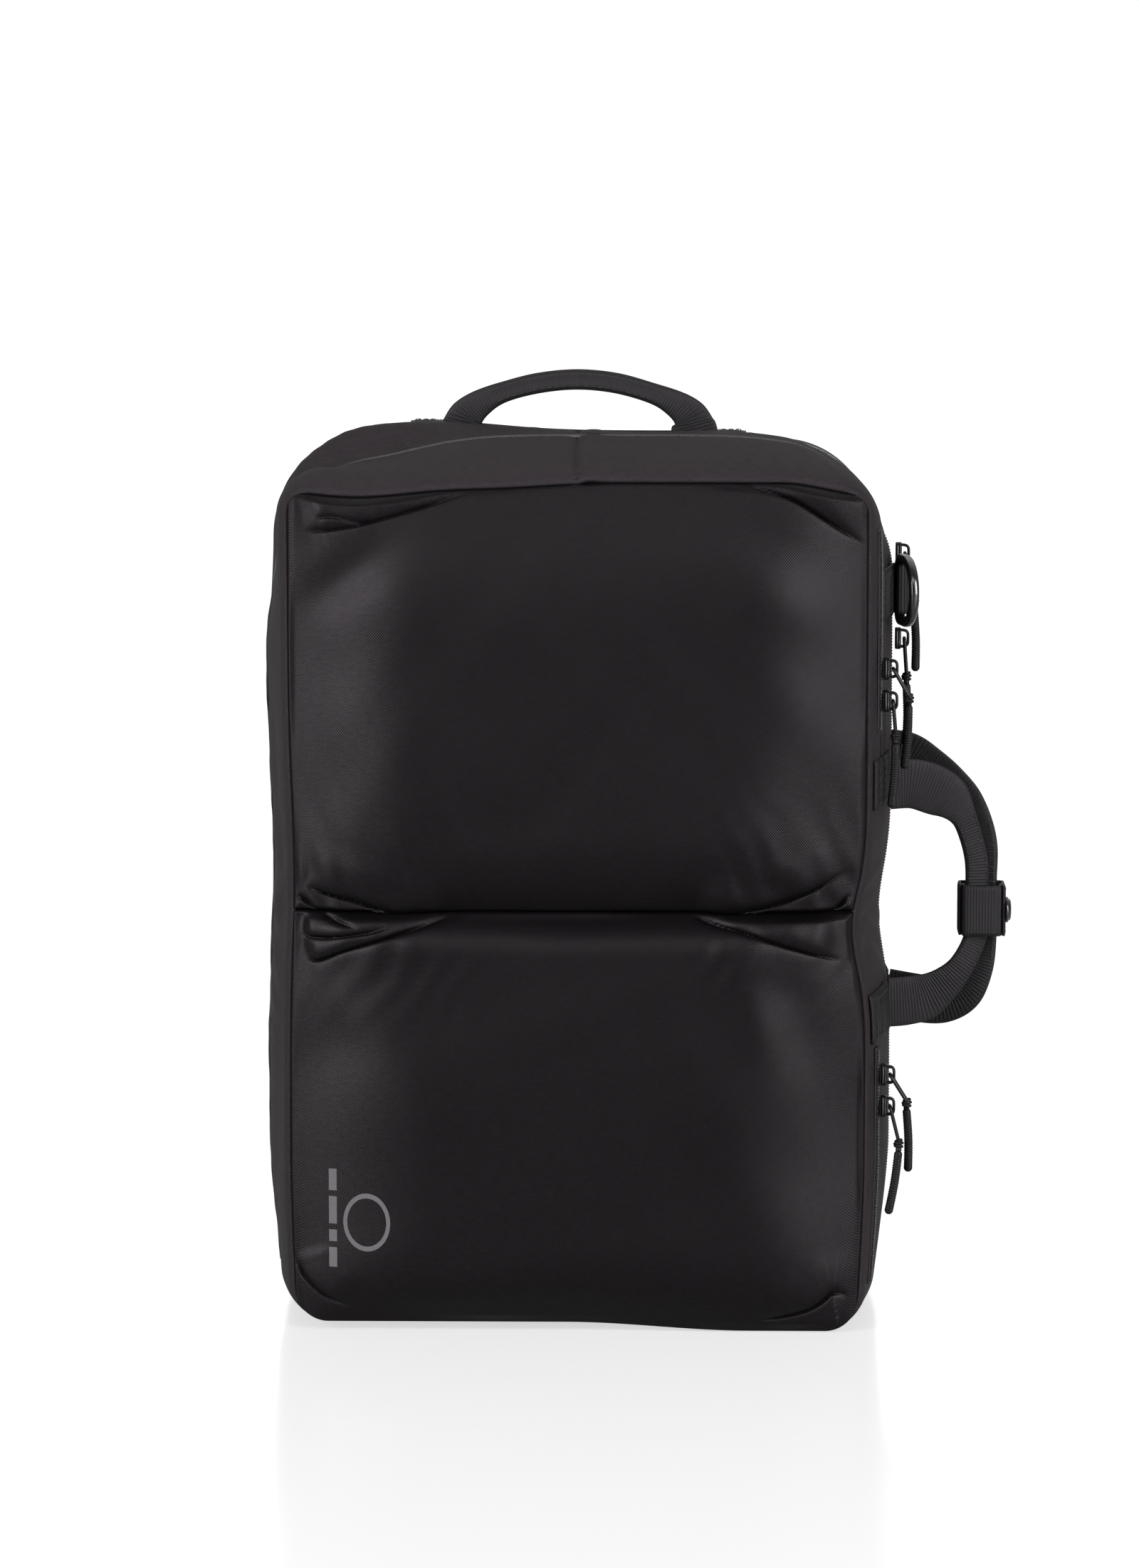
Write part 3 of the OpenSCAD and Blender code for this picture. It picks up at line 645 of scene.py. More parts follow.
def panel(name, z0, z1, r0, r1, low, top, overhang, broad, seed):
    """A puffed pocket panel between two heights, with base and top corners of radius r0 and r1. low
    and top say how it rises there, and broad lists its soft hollows and swellings in millimetres."""
    spacing = 0.00098
    cols, rows = int(2 * PANEL_W / spacing) + 1, int((z1 - z0) / spacing) + 1
    x = PANEL_W * crowded(cols)
    f = (crowded(rows)[:, None] + 1) / 2
    z = mix((z0 + corner_cut(x, PANEL_W, r0))[None], (z1 - corner_cut(x, PANEL_W, r1))[None], f)
    X = np.broadcast_to(x, z.shape).copy()
    P = np.stack([X, np.full_like(X, FRONT_Y), z], -1)
    d_side, d_low, d_top = PANEL_W - np.abs(X), z - z0, z1 - z
    wander = ripple(P, 0.17, seed, 2)
    puff = facet(d_side, 0.014, 0.078 + 0.010 * wander) * facet(d_low, *low) * facet(d_top, *top)
    height, hang = fold_field(X, z)
    edge = step(np.minimum(np.minimum(d_side, d_low), d_top) / 0.005)
    soft = 0.0012 * ripple(P, 0.15, seed + 4, 2) + 0.0003 * ripple(P, 0.05, seed + 1, 2)
    # Strain lines that fan out from the ends of the cleft
    fan = (X + 0.6 * np.abs(z - CLEFT_Z)) / 0.019 * TAU + 2 * ripple(P, 0.07, seed + 2)
    strain = 0.0003 * np.sin(fan) * bump(z, CLEFT_Z, 0.040) * step((np.abs(X) - 0.02) / 0.08)
    out = CROWN * puff + edge * (height + soft + strain)
    for cx, cz, rx, rz, tilt, amount in broad:
        out += edge * amount / 1000 * dent(X, z, cx / 1000, cz / 1000, rx / 1000, rz / 1000, tilt)
    # The cloth tucks in where it is sewn, all round but for the lower panel's base
    sewn = np.minimum(d_side, d_top if z0 < BASE_R else np.minimum(d_low, d_top))
    tuck = 0.0032 * (1 - np.clip(sewn / 0.0018, 0, 1)) ** 1.5
    P[..., 1] = FRONT_Y - 0.0008 - np.maximum(out, -0.004) + tuck
    lip = overhang * step(d_low / 0.004) * np.exp(-d_low / 0.012) * step(d_side / 0.03)
    P[..., 2] = z - hang * edge - lip
    P = slump(P)
    b = Build()
    b.sheet(P, 0.0011)
    b.make(name, SHELL, "front_body", [name])
    return P


panel("upper_pocket_panel", CLEFT_Z - 0.0004, FRONT_H - 0.0022, 0.001, FRONT_R - 0.002,
      (0.004, 0.045), (0.016, 0.076), 0.0034,
      [(-112, 380, 26, 12, 35, -2.2), (-88, 300, 30, 60, 0, 1.2), (118, 262, 22, 34, 20, -1.6),
       (95, 372, 34, 16, -30, 1.4), (-60, 250, 40, 16, 10, -1.2)], 21)
LOWER = panel("lower_pocket_panel", 0.0006, CLEFT_Z + 0.0004, BASE_R - 0.002, 0.001,
              (0.004, 0.052), (0.0, 0.024), 0.0,
              [(-112, 165, 26, 14, -40, 1.8), (-120, 150, 20, 30, -30, -2.0), (110, 158, 14, 40, 15, -1.8),
               (84, 170, 12, 30, 25, 1.2), (100, 60, 30, 24, -30, 1.6), (-70, 40, 40, 18, 15, -1.2)], 31)


def pocket_wall():
    """The lining behind the front pockets, bowed a little into the bag's front."""
    lo, hi = size_of("pocket_wall")
    spacing, corner, bow = 0.004, 0.03, -0.003
    cols, rows = (int((hi[k] - lo[k]) / spacing) + 2 for k in (0, 2))
    x = np.linspace(lo[0], hi[0], cols)
    half, centre = (hi[0] - lo[0]) / 2, (hi[0] + lo[0]) / 2
    cut = corner_cut(x - centre, half, corner)
    z = mix((lo[2] + cut * 0.4)[None], (hi[2] - cut)[None], np.linspace(0, 1, rows)[:, None])
    X = np.broadcast_to(x, z.shape).copy()
    P = np.stack([X, np.full_like(X, lo[1]), z], -1)
    edge = rise(half - np.abs(X - centre), 0.05) * rise(z - lo[2], 0.05) * rise(hi[2] - z, 0.05)
    P[..., 1] += edge * (bow + 0.0011 * ripple(P, 0.09, 41, 3))
    b = Build()
    b.sheet(slump(P), hi[1] - lo[1])
    b.make("pocket_wall", LINING, "front_body", ["pocket_wall"])


def pocket_divider():
    """The level sheet between the pockets, held back from the cleft."""
    lo, hi = size_of("pocket_divider")
    Y, X = np.meshgrid(np.linspace(lo[1] + 0.007, hi[1], 10), np.linspace(lo[0], hi[0], 60), indexing="ij")
    P = np.stack([X, Y, np.full_like(X, hi[2])], -1)
    P[..., 2] += 0.0006 * ripple(P, 0.05, 43, 2)
    b = Build()
    b.sheet(slump(P), hi[2] - lo[2])
    b.make("pocket_divider", LINING, "front_body", ["pocket_divider"])


pocket_wall()
pocket_divider()


# ---- Piping -----------------------------------------------------------------------------

def loop_at(y, inset):
    """The body's closed outline at depth y as points, after the slump."""
    o = outline(min(max(y, FRONT_Y), BACK_Y), inset)
    P = np.stack([o[:, 0], np.full(len(o), y), o[:, 1]], 1)
    p = slump(P)
    return np.stack([p[:, 0], p[:, 1], np.maximum(p[:, 2], 0.0)], 1)


def closed_even(path, spacing):
    """A closed path again with points that far apart."""
    return even(np.vstack([path, path[:1]]), spacing)[:-1]


def piping(name, y, r, inset, body, inward, seed):
    """A covered cord along a seam, with its flat welt on the inward side."""
    spacing = 0.0016
    path = closed_even(loop_at(y, inset), spacing)
    s = np.arange(len(path)) * spacing
    gathers = np.sin(s / 0.011 * TAU + 2 * ripple(path, 0.05, seed))
    swell = 1 + 0.05 * gathers + 0.06 * ripple(path, 0.04, seed + 1)
    ring = section(2 * r, 2 * r, 14, 2.2)[None] * swell[:, None, None]
    path[:, 1] += 0.0003 * ripple(path, 0.06, seed + 2)
    b = Build()
    b.sweep(rings(path, ring, (0, 1, 0), True), wrap_r=True)
    welt = closed_even(loop_at(y + inward * 0.0016, inset - 0.0006), 0.003)
    b.sweep(rings(welt, section(0.0034, 0.0012, 8, 3), (0, 1, 0), True), wrap_r=True)
    b.make(name, BAND, body, [name])


piping("front_piping", FRONT_Y + 0.0022, 0.0009, 0.0026, "front_body", 1, 51)
piping("rear_piping", BACK_Y + 0.0016, 0.0018, 0.0018, "rear_body", -1, 61)


# ---- Main zip ---------------------------------------------------------------------------

def zip_path(y, inset):
    """The part of the outline that the zip follows: all but the straight of the left side."""
    o = loop_at(y, inset)
    keep = ~((o[:, 0] < -0.12) & (o[:, 2] > BASE_R + 0.002) & (o[:, 2] < MID_H - MID_R - 0.001))
    start = int(np.argmax(~keep))
    order = np.roll(np.arange(len(o)), -start)
    order = [i for i in order if keep[i]]
    return o[order]


# Distance between the points of a zip chain, and between its teeth
COIL_STEP, COIL_PITCH = 0.00038, 0.0015


def coil(build, path, width, thick, up, phase=0.0):
    """One side's chain of teeth, its path evenly spaced by COIL_STEP."""
    size = 1 + 0.28 * np.cos(np.arange(len(path)) * COIL_STEP / COIL_PITCH * TAU + phase)
    build.sweep(rings(path, section(width, thick, 6, 2)[None] * size[:, None, None], up), mat=1)


def main_zip(name, side, body):
    """One half of the main zip: its tape and its chain."""
    rows = [even(zip_path(ZIP_Y + side * y, drop), 0.003)
            for y, drop in ((0.0045, 0.0004), (0.0030, 0.0006), (0.0012, 0.0009), (0.0003, 0.0012))]
    shares = np.linspace(0, 1, min(len(r) for r in rows))
    P = np.array([np.stack([np.interp(shares, np.linspace(0, 1, len(r)), r[:, k]) for k in range(3)], 1)
                  for r in rows])
    b = Build()
    outward = (P - np.array([0, ZIP_Y, 0.22])) * grid_normals(P)
    b.sheet(P, 0.0009, flip=outward.sum() < 0)
    coil(b, even(zip_path(ZIP_Y + side * 0.0011, 0.0006), COIL_STEP), 0.0019, 0.0013, (0, 1, 0))
    b.make(name, [TAPE, COIL], body, [name])


main_zip("main_zip_front", -1, "front_body")
main_zip("main_zip_rear", 1, "rear_body")


def hinge_strip():
    """Fabric that joins the two halves down the left side, where the zip doesn't run."""
    half = 0.006
    Z, Y = np.meshgrid(np.arange(BASE_R + 0.002, MID_H - MID_R, 0.003),
                       np.linspace(ZIP_Y - half, ZIP_Y + half, 9), indexing="ij")
    P = np.stack([-np.vectorize(lambda y: form(y)[0])(Y), Y, Z], -1)
    arch = np.sin((Y - ZIP_Y + half) / (2 * half) * math.pi)
    P[..., 0] -= 0.0003 + 0.0007 * arch + 0.0003 * ripple(P, 0.03, 71)
    P = slump(P)
    b = Build()
    b.sheet(P, 0.0012, flip=grid_normals(P)[..., 0].mean() > 0)
    ob = b.make("hinge_fabric", SHELL, None)
    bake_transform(ob)


hinge_strip()


# ---- Pieces on the right side -----------------------------------------------------------

def on_side(y, z, lift):
    """Points on the soft right side, lifted off it."""
    y, z = np.broadcast_arrays(np.asarray(y, float), np.asarray(z, float))
    flat = np.array([[form(b)[0], b, c] for b, c in zip(y.ravel(), z.ravel())]).reshape(y.shape + (3,))
    p = slump(flat)
    p[..., 0] += lift
    return p


def pocket_zip(name):
    """A pocket's zip on the right side: one tape with both chains and two rows of stitches."""
    lo, hi = size_of(name)
    mid = (lo[1] + hi[1]) / 2
    Z, Y = np.meshgrid(np.arange(lo[2], hi[2], 0.0016), np.linspace(lo[1], hi[1], 9), indexing="ij")
    b = Build()
    P = on_side(Y, Z, 0.0009)
    P[..., 0] += 0.0003 * np.cos(np.clip(np.abs(Y - mid) / 0.003, 0, 1) * math.pi)
    b.sheet(P, 0.0009)
    for s in (-1, 1):
        z = np.arange(lo[2] + 0.001, hi[2] - 0.001, COIL_STEP)
        coil(b, on_side(mid + s * 0.0007, z, 0.0014), 0.0013, 0.0012, (1, 0, 0), 0 if s > 0 else math.pi)
        z = np.arange(lo[2] + 0.001, hi[2] - 0.001, 0.002)
        stitch(b, on_side(mid + s * 0.0026, z, 0.0011), (1, 0, 0), mat=2)
    b.make(name, [TAPE, COIL, THREAD], "front_body", [name])


pocket_zip("upper_pocket_zip")
pocket_zip("lower_pocket_zip")


def web_strip(build, P, thick, flip, mat=0):
    """Webbing laid along the rows of P, with its ribs."""
    n = grid_normals(P) * (-1 if flip else 1)
    run = np.concatenate([[0], np.cumsum(np.linalg.norm(np.diff(P, axis=0), axis=2).mean(1))])
    P = P + n * (RIB * np.cos(run / PITCH * TAU))[:, None, None]
    build.sheet(P, thick, flip=flip, mats=(mat, mat))


def stitch_box(build, middle, a, c, out):
    """A stitched box with a cross in it, from its middle and its two half sides."""
    pts = [middle - a - c, middle + a - c, middle + a + c, middle - a + c, middle - a - c]
    for p, q in list(zip(pts[:-1], pts[1:])) + [(pts[0], pts[2]), (pts[1], pts[3])]:
        stitch(build, np.linspace(p, q, 12), out)


def handle_bases(name, body):
    """The two sewn ends of a side handle, flat on the bag's side."""
    lo, hi = size_of(name)
    half, row = 0.0125, 0.0095
    b = Build()
    for zc in (lo[2] + half, hi[2] - half):
        across = np.linspace(zc - half, zc + half, 13)
        Y, Z = np.meshgrid(np.arange(lo[1], hi[1], STEP), across, indexing="ij")
        edge = np.clip((half - np.abs(Z - zc)) / 0.0012, 0, 1)
        end = np.clip(np.minimum(Y - lo[1], hi[1] - Y) / 0.0015, 0, 1)
        P = on_side(Y, Z, 0.0022)
        P[..., 0] -= 0.0008 * (1 - np.sqrt(edge)) + 0.0005 * (1 - end)
        web_strip(b, P, 0.0018, flip=True)
        for dz in (-row, row):
            stitch(b, on_side(np.linspace(lo[1] + 0.004, hi[1] - 0.004, 30), zc + dz, 0.0024), (1, 0, 0))
        for y in (lo[1] + 0.004, lo[1] + 0.017, hi[1] - 0.004):
            stitch(b, on_side(y, np.linspace(zc - row, zc + row, 12), 0.0024), (1, 0, 0))
    b.make(name, [WEB, THREAD], body, [name])


handle_bases("front_handle_bases", "front_body")
handle_bases("rear_handle_bases", "rear_body")


# ---- Handles ----------------------------------------------------------------------------

# Width and thickness of the handle webbing where it is flat and where it is folded as a grip
FLAT = np.array([0.025, 0.0018])
GRIP = np.array([0.012, 0.0046])


def ribbed(path, width, thick, up, count=22, power=3.2, fold=None):
    """Rings of a webbing along a path: a rib across it at each pitch, and a folded grip where fold
    is 1."""
    width, thick = np.broadcast_to(width, len(path)), np.broadcast_to(thick, len(path))
    a = np.arange(count) / count * TAU
    c, q = np.cos(a), np.sin(a)
    ribs = 1 + RIB * np.cos(along(path) / PITCH * TAU) / (thick / 2)
    ring = np.zeros((len(path), count, 2))
    ring[..., 0] = np.sign(c) * np.abs(c) ** (2 / power) * (width / 2)[:, None]
    ring[..., 1] = np.sign(q) * np.abs(q) ** (2 / power) * (thick / 2 * ribs)[:, None]
    if fold is not None:
        slit = np.exp(-((ring[..., 0] / 0.0011) ** 2)) * (q < 0)
        ring[..., 1] += 0.0012 * slit * fold[:, None]
    return rings(path, ring, up)


def side_handle(name, points, pivot_y, angle, body):
    """A side handle in its own upright plane, which turns about the line where it is sewn on. points
    are rows of distance out and height in millimetres, and how far the webbing is folded."""
    rows = [(u / 1000, 0, z / 1000, *mix(FLAT, GRIP, f), f) for u, z, f in points]
    path = even(smooth(rows, 14), STEP)
    pivot = np.array([MID_W + 0.0005, pivot_y, 0])
    middle = turned(path[:, :3] + pivot, angle, pivot)
    normal = turned([[0, 1, 0]], angle)[0]
    wave = 0.0005 * ripple(middle, 0.05, len(name)) * step(path[:, 0] / 0.02)
    middle = middle + normal * wave[:, None]
    b = Build()
    b.sweep(ribbed(middle, path[:, 3], path[:, 4], normal, fold=path[:, 5]))
    grip = path[:, 5] > 0.9
    side, _ = frames(middle, normal)
    for s in (-1, 1):
        edge = middle + side * s * (path[:, 3] / 2 - 0.0016)[:, None]
        for face in (-1, 1):
            stitch(b, (edge[grip] + normal * face * 0.0022)[::6], normal * face)
    b.make(name, [WEB, THREAD], body, [name])


side_handle("front_handle_webbing", [
    (-1, 268.5, 0), (11, 268.5, 0), (22, 265, 0), (30.5, 260, 0.25), (37.2, 251.5, 0.85), (41.5, 241, 1),
    (44.5, 229, 1), (45, 217, 1), (45, 203, 1), (44.2, 189, 1), (37.2, 175.5, 0.9), (29, 166.5, 0.55),
    (19, 160, 0.1), (9, 158, 0), (-1, 157.5, 0)], -0.010, 14.3, "front_handle")
side_handle("rear_handle_webbing", [
    (-1, 280.5, 0), (9, 279, 0), (18, 273, 0), (28, 265.5, 0.1), (38, 257, 0.4), (45.5, 247, 0.85),
    (49.2, 234, 1), (49, 217, 1), (49, 203, 1), (49, 187, 1), (46.5, 172, 0.85), (39, 160, 0.4),
    (28, 155, 0.1), (14, 155.5, 0), (-1, 157.5, 0)], 0.018, -11.9, "rear_handle")


def top_handle():
    """The top handle, folded and stitched at its grip, and the tabs that hold its ends to the bag."""
    lo, hi = size_of("top_handle_webbing")
    y, z0 = (lo[1] + hi[1]) / 2, BACK_H + 0.002
    # Place across, height above the base, width and thickness, in millimetres
    rows = [(-61, -3.6, 24, 1.8), (-60, 1.0, 23, 2.0), (-58, 7.0, 18, 3.0), (-51, 13, 14, 5.0),
            (-40, 18.3, 10.8, 6.2), (-22, 23, 10.6, 6.4), (-2, 24.9, 10.6, 6.4), (18, 23.0, 10.6, 6.4),
            (37, 17.6, 10.8, 6.2), (48, 12.5, 14, 5.0), (54.8, 7.0, 18, 3.0), (57, 1.0, 23, 2.0),
            (58, -3.6, 24, 1.8)]
    path = even(smooth([(x / 1000, y, z0 + z / 1000, w / 1000, t / 1000) for x, z, w, t in rows], 12), STEP)
    middle = path[:, :3]
    f = step((path[:, 2] - z0 - 0.012) / 0.006)
    b = Build()
    b.sweep(ribbed(middle, path[:, 3], path[:, 4], (0, 1, 0), count=24, power=2.6, fold=f * 0.8))
    side, _ = frames(middle, (0, 1, 0))
    grip = f > 0.9
    for s in (-1, 1):
        for face in (-1, 1):
            edge = middle[grip] + side[grip] * s * 0.0031 + np.array([0, face * 0.0031, 0])
            stitch(b, edge[::6], (0, face, 0))
    b.make("top_handle_webbing", [WEB, THREAD], "top_handle", ["top_handle_webbing"])
    b = Build()
    for x, s in ((lo[0], -1), (hi[0], 1)):
        xs = np.linspace(x - s * 0.0020, x + s * 0.0155, 48)
        X, Y = np.meshgrid(xs, np.linspace(y - 0.0115, y + 0.0055, 10), indexing="ij")
        P = slump(np.stack([X, Y, np.full_like(X, BACK_H)], -1))
        P[..., 2] += 0.0014 + RIB * np.cos(X / PITCH * TAU)
        b.sheet(P, 0.0014, flip=s > 0)
        middle = slump(np.array([x + s * 0.008, y - 0.003, BACK_H])) + np.array([0, 0, 0.0017])
        stitch_box(b, middle, np.array([0.005, 0, 0]), np.array([0, 0.006, 0]), (0, 0, 1))
    b.make("top_handle_tabs", [WEB, THREAD], "rear_body")


top_handle()


# ---- Snap wrap --------------------------------------------------------------------------

def rounded_path(points, r, spacing):
    """A path through corner points, each corner rounded to about r."""
    p = [np.array(q, float) for q in points]
    out = [p[0]]
    for a, b, c in zip(p[:-2], p[1:-1], p[2:]):
        u, v = (a - b) / np.linalg.norm(a - b), (c - b) / np.linalg.norm(c - b)
        k = min(r, np.linalg.norm(a - b) * 0.49, np.linalg.norm(c - b) * 0.49)
        for f in np.linspace(0, 1, 8):
            out.append(b + u * k * (1 - f) ** 2 + v * k * f ** 2)
    out.append(p[-1])
    return even(np.array(out), spacing)


def upright(path, low, high):
    """A grid of points that repeats a path in x and y at heights from low to high."""
    z = np.linspace(low, high, 15)
    P = np.repeat(path[:, None], len(z), 1)
    P[..., 2] = z[None]
    return P


def wrap_band(build, points, low, high):
    """An upright webbing band along a path in x and y, round at its corners."""
    path = rounded_path([(x, y, 0) for x, y in points], 0.0032, STEP)
    P = upright(path, low, high)
    edge = np.clip(np.minimum(P[..., 2] - low, high - P[..., 2]) / 0.0012, 0, 1)
    n = grid_normals(P)
    flip = ((P - path.mean(0)) * n)[..., :2].sum() < 0
    n = -n if flip else n
    web_strip(build, P - n * (0.0004 * (1 - np.sqrt(edge)))[..., None], 0.0013, flip)


def wrap():
    """The webbing wrap round both grips: a front half, and the flap that snaps to it."""
    lo, hi = size_of("wrap_front_half")
    b = Build()
    wrap_band(b, [(lo[0], hi[1]), (lo[0], lo[1]), (hi[0], lo[1]), (hi[0], hi[1])], lo[2], hi[2])
    for z in (lo[2] + 0.0022, hi[2] - 0.0022):
        run = [(x, lo[1] - 0.0001, z) for x in np.linspace(lo[0] + 0.003, hi[0] - 0.003, 16)]
        stitch(b, np.array(run), (0, -1, 0))
    b.make("wrap_front_half", [WEB, THREAD], "front_handle", ["wrap_front_half"])
    lo, hi = size_of("wrap_flap")
    b = Build()
    wrap_band(b, [(lo[0], lo[1] + 0.0032), (lo[0], hi[1]), (hi[0], hi[1]), (hi[0], lo[1])], lo[2], hi[2])
    for z in (lo[2] + 0.0022, hi[2] - 0.0022):
        run = [(hi[0] + 0.0001, y, z) for y in np.linspace(lo[1] + 0.002, hi[1] - 0.004, 16)]
        stitch(b, np.array(run), (1, 0, 0))
    flap = b.make("wrap_flap", [WEB, THREAD], None, ["wrap_flap"])
    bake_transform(flap)


wrap()


def lathe(build, profile, centre, count):
    """A turned shape about +X: profile is rows of distance along it and radius."""
    a = np.arange(count) / count * TAU
    p = np.array(profile, float)
    P = np.zeros((len(p), count, 3))
    P[..., 0] = centre[0] + p[:, :1]
    P[..., 1] = centre[1] + p[:, 1:] * np.cos(a)
    P[..., 2] = centre[2] + p[:, 1:] * np.sin(a)
    build.sweep(P, flip=True)


def snap():
    """The snap's cap on the flap and its stud on the front half. Their profiles are shares of the
    piece's depth and of its radius."""
    stud_lo, stud_hi = size_of("snap_stud")
    _, y, z = (stud_lo + stud_hi) / 2
    lo, hi = size_of("snap_cap")
    t, r = hi[0] - lo[0], (hi[2] - lo[2]) / 2
    profile = [(0, 0.94), (0.10, 1), (0.34, 1), (0.46, 0.965), (0.52, 0.90), (0.56, 0.865), (0.70, 0.84),
               (0.86, 0.78), (0.95, 0.66), (1, 0.45), (1.01, 0.15)]
    b = Build()
    lathe(b, [(0, 0.0022)] + [(t * f, r * k) for f, k in profile], (lo[0], y, z), 40)
    b.make("snap_cap", GLOSS, "wrap", ["snap_cap"], sharp=50)
    t, r = stud_hi[0] - stud_lo[0], (stud_hi[2] - stud_lo[2]) / 2
    profile = [(0.12, 1.5), (0.2, 0.9), (0.55, 0.8), (0.75, 1), (0.92, 0.9), (1, 0.5)]
    b = Build()
    lathe(b, [(-0.0004, r * 1.5)] + [(t * f, r * k) for f, k in profile], (stud_lo[0], y, z), 24)
    b.make("snap_stud", METAL, "front_handle", ["snap_stud"], sharp=50)


snap()


# ---- D-ring -----------------------------------------------------------------------------

D_AXIS = np.array([0.1602, -0.014, 0.368])
# Degrees by which the ring stands out from the side at rest
D_LEAN = 13
D_HALF, D_REACH, D_R = 0.0155, 0.012, 0.0025


def d_ring():
    """A moulded D with a straight back and two small corners, turned out from the side."""
    corner = 0.004
    bend = np.linspace(0, math.pi / 2, 8)
    pts = [(0, -D_HALF + corner), (0, 0), (0, D_HALF - corner)]
    pts += [(corner - corner * math.cos(f), D_HALF - corner + corner * math.sin(f)) for f in bend]
    pts += [(D_REACH + D_HALF * math.cos(f), D_HALF * math.sin(f))
            for f in np.linspace(math.pi / 2, -math.pi / 2, 40)]
    pts += [(corner - corner * math.cos(f), -D_HALF + corner - corner * math.sin(f)) for f in bend[::-1]]
    path = closed_even(turned([(r, 0, z) for r, z in pts], D_LEAN - 90) + D_AXIS, 0.0007)
    normal = turned([[0, 1, 0]], D_LEAN - 90)[0]
    b = Build()
    b.sweep(rings(path, section(2 * D_R, 2 * D_R, 20, 2.5), normal, True), wrap_r=True)
    b.make("d_ring", GLOSS, "d_ring", ["d_ring"])


d_ring()


def d_ring_webbing():
    """The webbing sewn to the side and looped through the D-ring."""
    lo, hi = size_of("d_ring_webbing")
    low, high, loop_r = lo[2] + 0.0025, hi[2] - 0.0025, 0.0038
    ys = np.linspace(lo[1], -0.021, 12)
    loop = [(D_AXIS[0] + loop_r * math.cos(a), D_AXIS[1] + loop_r * math.sin(a), 0)
            for a in np.radians(np.linspace(215, -100, 30))]
    path = even(np.array([(form(y)[0] + 0.0018, y, 0) for y in ys] + loop), STEP)
    b = Build()
    web_strip(b, upright(path, lo[2], hi[2]), 0.0013, True)
    for z in (low, high):
        stitch(b, np.array([(form(y)[0] + 0.0021, y, z) for y in ys[1:-2]]), (1, 0, 0))
    for y in (ys[1], ys[-3], ys[-4]):
        stitch(b, np.array([(form(y)[0] + 0.0021, y, z) for z in np.linspace(low, high, 12)]), (1, 0, 0))
    b.make("d_ring_webbing", [WEB, THREAD], "front_body", ["d_ring_webbing"])


d_ring_webbing()


# ---- Zip sliders and pulls --------------------------------------------------------------

def slider(node):
    """A cast slider: a shield-shaped body with side lips, and a bridge that holds the pull."""
    lo, hi = size_of(node)
    x0, yc, zc = lo[0], (lo[1] + hi[1]) / 2, (lo[2] + hi[2]) / 2
    half_y, half_z = (hi[1] - lo[1]) / 2, (hi[2] - lo[2]) / 2
    # Distance out and share of the full width at each level
    levels = [(0, 0.86), (0.0004, 0.97), (0.0010, 1.0), (0.0013, 0.93), (0.0018, 0.93), (0.0020, 1.0),
              (0.0026, 0.97), (0.0031, 0.82)]
    a = np.arange(40) / 40 * TAU
    c, s = np.cos(a), np.sin(a)
    tall = np.sign(s) * np.abs(s) ** 0.62
    wide = np.sign(c) * np.abs(c) ** 0.6 * 0.8232 / (1 + 0.18 * tall)
    P = np.array([np.stack([np.full(40, x0 + x), yc + half_y * np.clip(wide * k, -1, 1),
                            zc + half_z * tall * (1 if k > 0.9 else k + 0.08)], 1) for x, k in levels])
    b = Build()
    b.sweep(P, flip=True)
    top = hi[0] - x0 - 0.0008
    bridge = rounded_path([(0.0022, 0, -0.0043), (top, 0, -0.0038), (top, 0, 0.0038), (0.0022, 0, 0.0043)],
                          0.0022, 0.0005) + np.array([x0, yc, zc])
    b.sweep(rings(bridge, section(0.0015, 0.0032, 14, 3.2), (0, 1, 0)))
    b.make(node, METAL, node, [node], sharp=60)


